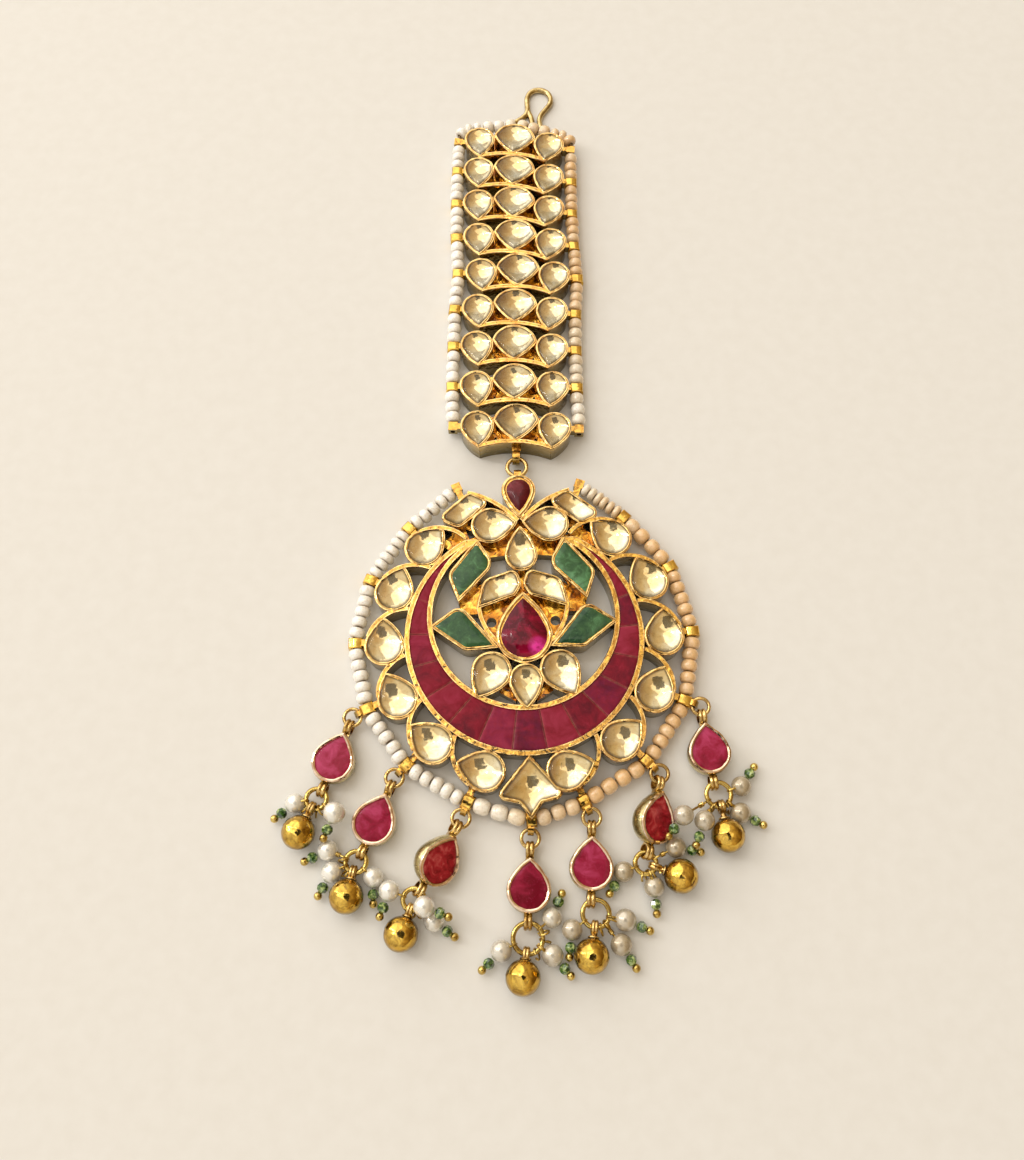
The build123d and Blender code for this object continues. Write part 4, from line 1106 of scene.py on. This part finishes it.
class TIKKA_OT_fold_tubes(bpy.types.Operator):
    """Fold the square gold tubes that the threads run through, beside the plates and round the rim"""
    bl_idname = "tikka.fold_tubes"
    bl_label = "Fold thread tubes"

    def execute(self, context):
        chance = random.Random(61)
        strings = {"rim_beads": "rim", "bead_string_left": "left", "bead_string_right": "right"}
        for node, place in strings.items():
            strung = [beads_of(part) for part in loose_parts(node)]
            ends = [end for beads in strung for end in (beads[0][0], beads[-1][1])]
            shape = Shape()
            for k, first in enumerate(ends):
                for second in ends[k + 1:]:
                    gap = (second - first).length
                    if not TUBE_SHORTEST < gap < TUBE_LONGEST:
                        continue
                    middle = (first + second) / 2
                    turn = math.atan2(second.y - first.y, second.x - first.x) + chance.uniform(-0.05, 0.05)
                    matrix = Matrix.Translation((middle.x, middle.y, 0)) @ Matrix.Rotation(turn, 4, "Z")
                    half = gap / 2 - TUBE_END_GAP
                    wide = TUBE_HALF_WIDTH * chance.uniform(0.94, 1.06)
                    levels = []
                    for inset, level in TUBE_SECTION:
                        x, y = half - inset * 0.6, wide - inset
                        levels.append([(x * a, y * b, level) for a, b in SQUARE])
                    rings(shape, levels, (True, True), matrix=matrix)
            shape.build(f"thread_tubes_{place}", [finish("tube")], "gold")
        return {"FINISHED"}


class TIKKA_OT_finish_gold(bpy.types.Operator):
    """Finish the gold frame, the plates, the hook and the rings that keep their shape"""
    bl_idname = "tikka.finish_gold"
    bl_label = "Finish gold"

    def execute(self, context):
        finishes = {node: "raised" for node in band_nodes("plate") + ["pendant_frame"]}
        finishes.update(hook="hook", connector_ring="wire", drop_rings="wire")
        for node, name in finishes.items():
            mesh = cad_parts[node].data
            mesh.materials.clear()
            mesh.materials.append(finish(name))
        return {"FINISHED"}


def lying(seat):
    """A drop's own frame: +X from the pear's round end to its tip, the ruby's underside at Z = 0."""
    tip = max(seat.loop, key=lambda point: math.dist(point, (0, 0)))
    turn = math.atan2(tip[1], tip[0])
    points = [(x * math.cos(turn) + y * math.sin(turn), -x * math.sin(turn) + y * math.cos(turn))
              for x, y in seat.loop]
    width = max(y for _, y in points) - min(y for _, y in points)
    round_end = min(x for x, _ in points) + width / 2
    loop = [(x - round_end, y) for x, y in points]
    matrix = seat.matrix @ Matrix.Rotation(turn, 4, "Z") @ Matrix.Translation((round_end, 0, 0))
    return loop, matrix, width / 2


class TIKKA_OT_make_drops(bpy.types.Operator):
    """Make the seven ruby drops: bulged casing, burnished lip, two ribbed straps and the stone"""
    bl_idname = "tikka.make_drops"
    bl_label = "Make ruby drops"

    def execute(self, context):
        sizes = context.scene.tikka_sizes
        chance = random.Random(41)
        for number in range(1, DROPS + 1):
            seat = seats_of(f"drop_{number}_ruby")[0]
            loop, matrix, radius = lying(seat)
            outer = moved_out(loop, SETTING_WALL)
            tip = max(x for x, _ in outer)
            shape = Shape()
            levels = [[(x, y, level) for x, y in moved_out(outer, -inset)] for inset, level in CASING_SECTION]
            leaning = lean_further(seat, matrix) if number in ROLLED_DROPS else Matrix()
            rings(shape, levels, (True, True), matrix=leaning @ matrix)
            middle = (SETTING_BACK + SETTING_RIM) / 2
            straps = ((tip + STRAP_RADIUS - 0.1, 1.0), (-radius - SETTING_WALL - STRAP_RADIUS + 0.1, -1.0))
            for x, outward in straps:
                ribbed_strap(shape, matrix @ Matrix.Translation((x, 0, middle)), outward)
            shape.build(f"drop_{number}_casing", [finish("casing"), finish("wire")], "pale_gold",
                        [f"drop_{number}_setting"])
            shape = Shape()
            inside = moved_out(outer, -CASING_LIP_INSET)
            path = [leaning @ matrix @ Vector((x, y, SETTING_RIM - 0.1)) for x, y in inside]
            wire(shape, path, CASING_LIP, closed=True, spread=0.3, drift=0.05, seed=number)
            shape.build(f"drop_{number}_lip", [finish("casing_lip")], "pale_gold")
            shape = Shape("tone")
            shift = DROP_TONES[number - 1] + chance.uniform(-0.03, 0.03)
            lean = (chance.uniform(-0.02, 0.02), chance.uniform(-0.02, 0.02))

            def face(depth, deepest, x, y):
                ridge = 0.05 * noise.cell(Vector((x * 0.45 + number, y * 0.45, 0)))
                height = 0.1 + lean[0] * x + lean[1] * y + ridge * (number == RIDGED_DROP)
                return height * min(1.0, depth / 0.4)

            def marks(x, y, depth):
                shade = 0.2 * min(1.0, depth / 1.5) if number == SHADED_DROP else 0
                return (0.5 + shift - shade + 0.1 * (y - x) / 3,)

            seat.matrix = leaning @ seat.matrix
            stone(shape, seat, seat.height - 0.08, face, sizes.facet, marks, over=0.12)
            ruby = "red_ruby" if number in ROLLED_DROPS else "drop_ruby"
            shape.build(f"drop_{number}_stone", [finish(ruby)], "ruby", [f"drop_{number}_ruby"])
        return {"FINISHED"}


def lean_further(seat, matrix):
    """Turn that leans a rolled drop's casing over a little more about its own length, off the floor."""
    pivot = Matrix.Translation(matrix @ Vector((0, 0, (SETTING_BACK + SETTING_RIM) / 2)))
    length = matrix.to_3x3() @ Vector((1, 0, 0))
    side = matrix.to_3x3() @ Vector((0, 1, 0))
    angle = math.copysign(math.radians(CASING_ROLL), -side.dot(Vector((seat.up.x, seat.up.y, 0))))
    turn = pivot @ Matrix.Rotation(angle, 4, length) @ pivot.inverted()
    return Matrix.Translation((0, 0, CASING_LIFT)) @ turn


def ribbed_strap(shape, matrix, outward):
    """Gold strip with two rounded ribs bent into an eye, and the tab that joins it to a casing. Outward
    is 1 for the strap beyond the casing's +X end and -1 for the one beyond its other end."""
    across = matrix @ Matrix.Rotation(math.radians(90), 4, "X")
    turned(shape, STRAP_BAND, across, 28, closed=True, finish=1)
    tab = [[(-outward * x, y * half, z * STRAP_TAB_DEPTH) for y, z in SQUARE] for x, half in STRAP_TAB]
    rings(shape, tab, (True, True), matrix=matrix, finish=1)


class TIKKA_OT_raise_bells(bpy.types.Operator):
    """Raise the seven gold bells, with their seam, collar and doubled wire loop"""
    bl_idname = "tikka.raise_bells"
    bl_label = "Raise bells"

    def execute(self, context):
        for number in range(1, DROPS + 1):
            node = f"drop_{number}_bell"
            points = np.vstack([used_points(part) for part in loose_parts(node)])
            low = points[points[:, 2] < 0.9]
            centre = Vector(fitted(low)[0])
            level = points[:, :2] - np.array(centre[:2])
            reach = np.linalg.norm(level, axis=1)
            far = float(reach.max())
            facing = level[reach > far - 0.3].mean(axis=0)
            direction = Vector((facing[0], facing[1], 0)).normalized()
            loop_at = centre + direction * (far - BELL_LOOP - BELL_LOOP_WIRE)
            loop_at.z = BELL_LOOP_Z
            axis = (loop_at - centre).normalized()
            shape = Shape()
            profile = []
            for k in range(1, BELL_RINGS):
                angle = math.pi * k / BELL_RINGS
                at_seam = abs(angle - math.pi / 2) < BELL_SEAM_HALF
                swell = BELL_RADIUS + (BELL_SEAM if at_seam else -BELL_SINK)
                profile.append((-swell * math.cos(angle), swell * math.sin(angle)))

            def dented(point):
                return point * (1 + 0.012 * noise.noise(point * 0.9 + Vector((number * 7.0, 0, 0))))

            turned(shape, profile, aimed(centre, axis), 40, wobble=dented)
            turned(shape, BELL_COLLAR, aimed(centre, axis), 24, finish=1)
            sideways = Vector((-direction.y, direction.x, 0))
            for shift in (-BELL_LOOPS_APART, BELL_LOOPS_APART):
                upright = aimed(loop_at + sideways * shift, sideways)
                wire(shape, [upright @ point for point in circle_path(BELL_LOOP)],
                     BELL_LOOP_WIRE + BELL_LOOP_THICKER, closed=True, finish=1)
            shape.build(f"{node}_raised", [finish("bell"), finish("wire")], "gold", [node])
        return {"FINISHED"}


class TIKKA_OT_thread_pins(bpy.types.Operator):
    """Thread pearls, green glass beads and end balls on their pins and hang them on the lower rings"""
    bl_idname = "tikka.thread_pins"
    bl_label = "Thread pearl pins"

    def execute(self, context):
        chance = random.Random(17)
        for number in range(1, DROPS + 1):
            node = f"drop_{number}_cluster"
            pins, left = [], []
            for part in loose_parts(node):
                points = used_points(part)
                if volume(part) > PIN_VOLUME:
                    start, axis, pearl = pin_of(points)
                    pins.append((start, axis, pearl))
                    away = points - np.array(start)
                    outside = np.linalg.norm(away, axis=1) > pearl + 0.06
                    points = points[outside & (away @ np.array(axis) < 0)]
                if len(points):
                    left.append(points)
            ring = max(left, key=lambda points: np.ptp(points[:, 0]) * np.ptp(points[:, 1]))
            middle, ring_radius = fitted(ring[:, :2])
            ring_middle = Vector((*middle, (ring[:, 2].max() + ring[:, 2].min()) / 2))
            pearls, glass, gold = Shape("tone"), Shape(), Shape()
            lower = [ring_middle + point for point in circle_path(ring_radius, 40)]
            wire(gold, lower, LOWER_RING_WIRE, closed=True, sides=10, spread=0.1)
            toward = Vector((0, 0, 0))
            for start, axis, pearl in pins:
                browner = 0.3 if start.z < LOW_PEARL else 0
                tone = 0.2 + start.x / PEARL_TONES_ACROSS + browner + chance.uniform(-0.15, 0.15)
                tone = min(1.0, max(0.0, tone))
                turned(pearls, ball_profile(pearl, 16, 0.12), aimed(start, axis), 26, marks=(tone,))
                glass_at = start + axis * (pearl + GLASS_BEAD_AT)
                turned(glass, GLASS_BEAD, aimed(glass_at, axis), 7)
                ball_at = start + axis * (pearl + PIN_BALL_AT)
                turned(gold, ball_profile(PIN_BALL, 10, 0.1), aimed(ball_at, axis), 16)
                wire(gold, [glass_at, ball_at], PIN_WIRE, sides=6)
                hanging_wire(gold, start, pearl, ring_middle, ring_radius)
                toward += Vector((start.x - ring_middle.x, start.y - ring_middle.y, 0)).normalized()
            for degrees in LOOSE_EYES:
                turn = Matrix.Rotation(math.radians(degrees), 3, "Z")
                loose_eye(gold, ring_middle, ring_radius, turn @ toward, chance)
            pearls.build(f"drop_{number}_pearls", [finish("pearl")], "pearl", [node])
            glass.build(f"drop_{number}_green_beads", [finish("green")], "emerald", crease=15)
            gold.build(f"drop_{number}_pins", [finish("pin")], "gold")
        return {"FINISHED"}


def fitted(points):
    """Middle and radius of the circle or the ball that runs nearest to some points."""
    table = np.c_[2 * points, np.ones(len(points))]
    solved = np.linalg.lstsq(table, (points**2).sum(axis=1), rcond=None)[0]
    middle = solved[:-1]
    return middle, math.sqrt(solved[-1] + middle @ middle)


def pin_of(points):
    """A head pin's pearl middle, direction and pearl radius. The pearl stands higher than all else, and
    the bead and ball beyond it droop under its middle."""
    middle, radius = fitted(points[points[:, 2] > points[:, 2].max() - 0.8])
    away = points - middle
    beyond = (np.linalg.norm(away, axis=1) > radius + 0.3) & (away[:, 2] < -0.1)
    heading = away[beyond].mean(axis=0)
    level = Vector((heading[0], heading[1], 0)).normalized()
    return Vector(middle), (level - Vector((0, 0, PIN_DROOP))).normalized(), radius


def ball_profile(radius, count, end):
    """(height, radius) profile of a ball with small flat ends."""
    first = math.asin(end / radius)
    angles = [first + (math.pi - 2 * first) * k / (count - 1) for k in range(count)]
    return [(-radius * math.cos(a), radius * math.sin(a)) for a in angles]


def hanging_wire(shape, pearl_at, pearl, ring_middle, ring_radius):
    """Wire from a pearl to the lower ring: its eye round the ring, a wrapped neck, and the stem."""
    away = Vector((pearl_at.x - ring_middle.x, pearl_at.y - ring_middle.y, 0))
    near = away.length < ring_radius + pearl + 0.9
    away.normalize()
    on_ring = ring_middle + away * ring_radius
    eye = aimed(on_ring + away * 0.34, Vector((-away.y, away.x, 0)))
    wire(shape, [eye @ point for point in circle_path(HANGING_EYE, 20)], HANGING_WIRE, closed=True, sides=7)
    if near:
        return
    start = on_ring + away * 1.05
    path = [start, start.lerp(pearl_at, 0.5) + Vector((0, 0, 0.12)), pearl_at]
    wire(shape, path, HANGING_WIRE, sides=7)
    for k in range(3):
        turn = aimed(start + away * (0.22 * k), pearl_at - start)
        wire(shape, [turn @ point for point in circle_path(WRAP, 12)], WRAP_WIRE, closed=True, sides=6)


def loose_eye(shape, ring_middle, ring_radius, toward, chance):
    """Spare wire eye that hangs on the lower ring, tipped its own way, with its end left open."""
    away = Vector((toward.x, toward.y, 0)).normalized()
    radius = chance.uniform(0.62, 0.85)
    upright = Vector((-away.y, away.x, chance.uniform(-0.5, 0.5)))
    eye = aimed(ring_middle + away * (ring_radius + radius * chance.uniform(0.2, 0.7)), upright)
    turned_by = chance.uniform(0, 6.28)
    path = []
    for k in range(23):
        angle = turned_by + math.radians(LOOSE_EYE_OPEN) * k / 22
        rise = 0.25 * (angle - turned_by) / 6.28
        path.append(eye @ Vector((radius * math.cos(angle), radius * math.sin(angle), rise)))
    wire(shape, path, LOOSE_EYE_WIRE, sides=7)


# ---- Stage -------------------------------------------------------------------------------------
class TikkaStage(bpy.types.PropertyGroup):
    camera: FloatVectorProperty(
        name="Camera", description="Camera's place over the piece", subtype="TRANSLATION", unit="LENGTH",
        default=(-0.0019, -0.0445, 0.1515),
    )
    look_down: FloatProperty(
        name="Look down", description="Angle of the view over the floor", subtype="ANGLE",
        default=math.radians(70),
    )
    lens: FloatProperty(name="Lens", description="Focal length in mm on a 36 mm wide sensor", default=35.16)
    key: FloatProperty(
        name="Key light", description="Watts of the window-like light at the upper left", default=40.0,
    )
    fill: FloatProperty(name="Fill", description="Watts of the soft light overhead", default=2.8)
    sky: FloatProperty(name="Sky", description="Strength of the even light all round", default=0.75)


def panel_light(name, place, target, width, height, power, colour):
    """Rectangular lamp at a place, aimed at a target."""
    lamp = bpy.data.lights.new(name, "AREA")
    lamp.shape = "RECTANGLE"
    lamp.size, lamp.size_y = width, height
    lamp.energy = power
    lamp.color = colour
    lit = bpy.data.objects.new(name, lamp)
    lit.location = place
    lit.rotation_euler = (Vector(target) - Vector(place)).to_track_quat("-Z", "Y").to_euler()
    bpy.context.scene.collection.objects.link(lit)


def card(name, place, outline, tint, shade):
    """Matt card turned to the piece, which only shows as a reflection in glass and gold. It is part of
    the stage: its reflections go with the place it stands in, and an exported model hasn't got them."""
    mesh = bpy.data.meshes.new(name)
    mesh.from_pydata([(x, y, 0) for x, y in outline], [], [range(len(outline))])
    mesh.materials.append(matt(f"{name}_felt", linear(tint), linear(shade), 30))
    sheet = bpy.data.objects.new(name, mesh)
    sheet.location = place
    sheet.rotation_euler = (-Vector(place)).to_track_quat("Z", "Y").to_euler()
    sheet.visible_camera = sheet.visible_diffuse = sheet.visible_shadow = False
    bpy.context.scene.collection.objects.link(sheet)


class TIKKA_OT_set_stage(bpy.types.Operator):
    """Set the pale floor, the soft lights, the camera and the dark card beside it"""
    bl_idname = "tikka.set_stage"
    bl_label = "Set stage"

    def execute(self, context):
        scene = context.scene
        stage = scene.tikka_stage
        mesh = bpy.data.meshes.new("floor")
        mesh.from_pydata([(x * FLOOR_REACH, y * FLOOR_REACH, 0) for x, y in SQUARE], [], [(0, 1, 2, 3)])
        floor = bpy.data.objects.new("floor", mesh)
        paper = tuple(scene.tikka_colours.floor)
        mesh.materials.append(matt("floor_matt_paper", paper, linear("#B9AF9E"), 2.5))
        scene.collection.objects.link(floor)

        world = bpy.data.worlds.new("pale_room")
        world.use_nodes = True
        tree = world.node_tree
        background = tree.nodes["Background"]
        # The camera sees a pale background. Light and reflections come from a room that runs from cream
        # to brown, so glass and gold show that room and not the background.
        facing = add_node(tree, "TexCoord").node.outputs["Generated"]
        facing = add_node(tree, "SeparateXYZ", facing).node.outputs
        side = add_node(tree, "MapRange", facing["X"], -1, 1)
        room = add_node(tree, "ValToRGB", side, stops=[
            (0.2, linear("#FFFAF2")), (0.5, linear("#F6EEDF")), (0.7, linear("#DCC294")),
            (0.95, linear("#86693A"))])
        rise = add_node(tree, "MapRange", facing["Z"], 0.0, 0.4, 0.65, 1.0)
        room = add_node(tree, "MixRGB", rise, linear("#2E2416"), room)
        ray = add_node(tree, "LightPath").node.outputs
        room = add_node(tree, "MixRGB", ray["Is Camera Ray"], room, linear("#DEDAD2"))
        tree.links.new(room, background.inputs["Color"])
        seen = add_node(tree, "Math", ray["Is Camera Ray"], ray["Is Glossy Ray"], operation="MAXIMUM")
        seen = add_node(tree, "Math", seen, ray["Is Transmission Ray"], operation="MAXIMUM")
        strength = add_node(tree, "MapRange", seen, To_Min=stage.sky, To_Max=1.05)
        tree.links.new(strength, background.inputs["Strength"])
        scene.world = world

        panel_light("window", (-1.2, 1.4, 1.45), (0, 0.02, 0), 3.2, 3.2, stage.key, WINDOW_WHITE)
        panel_light("spark", (-0.4, 0.3, 0.95), (0, 0, 0), 0.08, 0.08, stage.key / 65, WINDOW_WHITE)
        panel_light("strip", (-0.75, 0.25, 0.5), (0, 0.02, 0), 0.05, 0.6, stage.key / 26, WINDOW_WHITE)
        panel_light("overhead", (-0.1, -0.1, 1.3), (0, 0.02, 0), 1.0, 1.0, stage.fill, (1.0, 0.98, 0.95))
        card("card_viewer", Vector(stage.camera) + Vector(VIEWER_CARD_AT), VIEWER_CARD, "#1C1712", "#4A4238")

        lens = bpy.data.cameras.new("camera")
        lens.sensor_fit = "HORIZONTAL"
        lens.sensor_width = 36.0
        lens.lens = stage.lens
        lens.clip_start = 0.005
        eye = bpy.data.objects.new("camera", lens)
        eye.location = stage.camera
        eye.rotation_euler = (math.radians(90) - stage.look_down, 0, 0)
        scene.collection.objects.link(eye)
        scene.camera = eye
        scene.view_settings.view_transform = "Standard"
        return {"FINISHED"}


class TIKKA_PT_panel(bpy.types.Panel):
    """Sidebar panel that lists the steps"""
    bl_idname = "TIKKA_PT_panel"
    bl_label = "Kundan Maang Tikka"
    bl_space_type = "VIEW_3D"
    bl_region_type = "UI"
    bl_category = "Tikka"

    def draw(self, context):
        layout = self.layout
        for operator in OPERATORS:
            layout.operator(operator.bl_idname)
        for group in (context.scene.tikka_sizes, context.scene.tikka_colours, context.scene.tikka_stage):
            box = layout.box()
            for name in group.__annotations__:
                box.prop(group, name)


OPERATORS = (
    TIKKA_OT_finish_gold, TIKKA_OT_set_kundan, TIKKA_OT_set_crescent, TIKKA_OT_set_gems,
    TIKKA_OT_press_lips, TIKKA_OT_string_beads, TIKKA_OT_fold_tubes, TIKKA_OT_make_drops,
    TIKKA_OT_raise_bells, TIKKA_OT_thread_pins, TIKKA_OT_set_stage,
)
GROUPS = {"tikka_sizes": TikkaSizes, "tikka_colours": TikkaColours, "tikka_stage": TikkaStage}


def register():
    """Adds the settings, the operators and the panel to Blender."""
    for group in GROUPS.values():
        bpy.utils.register_class(group)
    for name, group in GROUPS.items():
        setattr(bpy.types.Scene, name, PointerProperty(type=group))
    for operator in OPERATORS:
        bpy.utils.register_class(operator)
    bpy.utils.register_class(TIKKA_PT_panel)


def unregister():
    """Takes them away again, last first."""
    bpy.utils.unregister_class(TIKKA_PT_panel)
    for operator in reversed(OPERATORS):
        bpy.utils.unregister_class(operator)
    for name, group in reversed(GROUPS.items()):
        delattr(bpy.types.Scene, name)
        bpy.utils.unregister_class(group)


def main():
    noise.seed_set(NOISE_SEED)
    register()
    for operator in OPERATORS:
        group, name = operator.bl_idname.split(".")
        getattr(getattr(bpy.ops, group), name)()
    bpy.context.view_layer.update()
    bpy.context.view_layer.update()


if __name__ == "__main__":
    main()
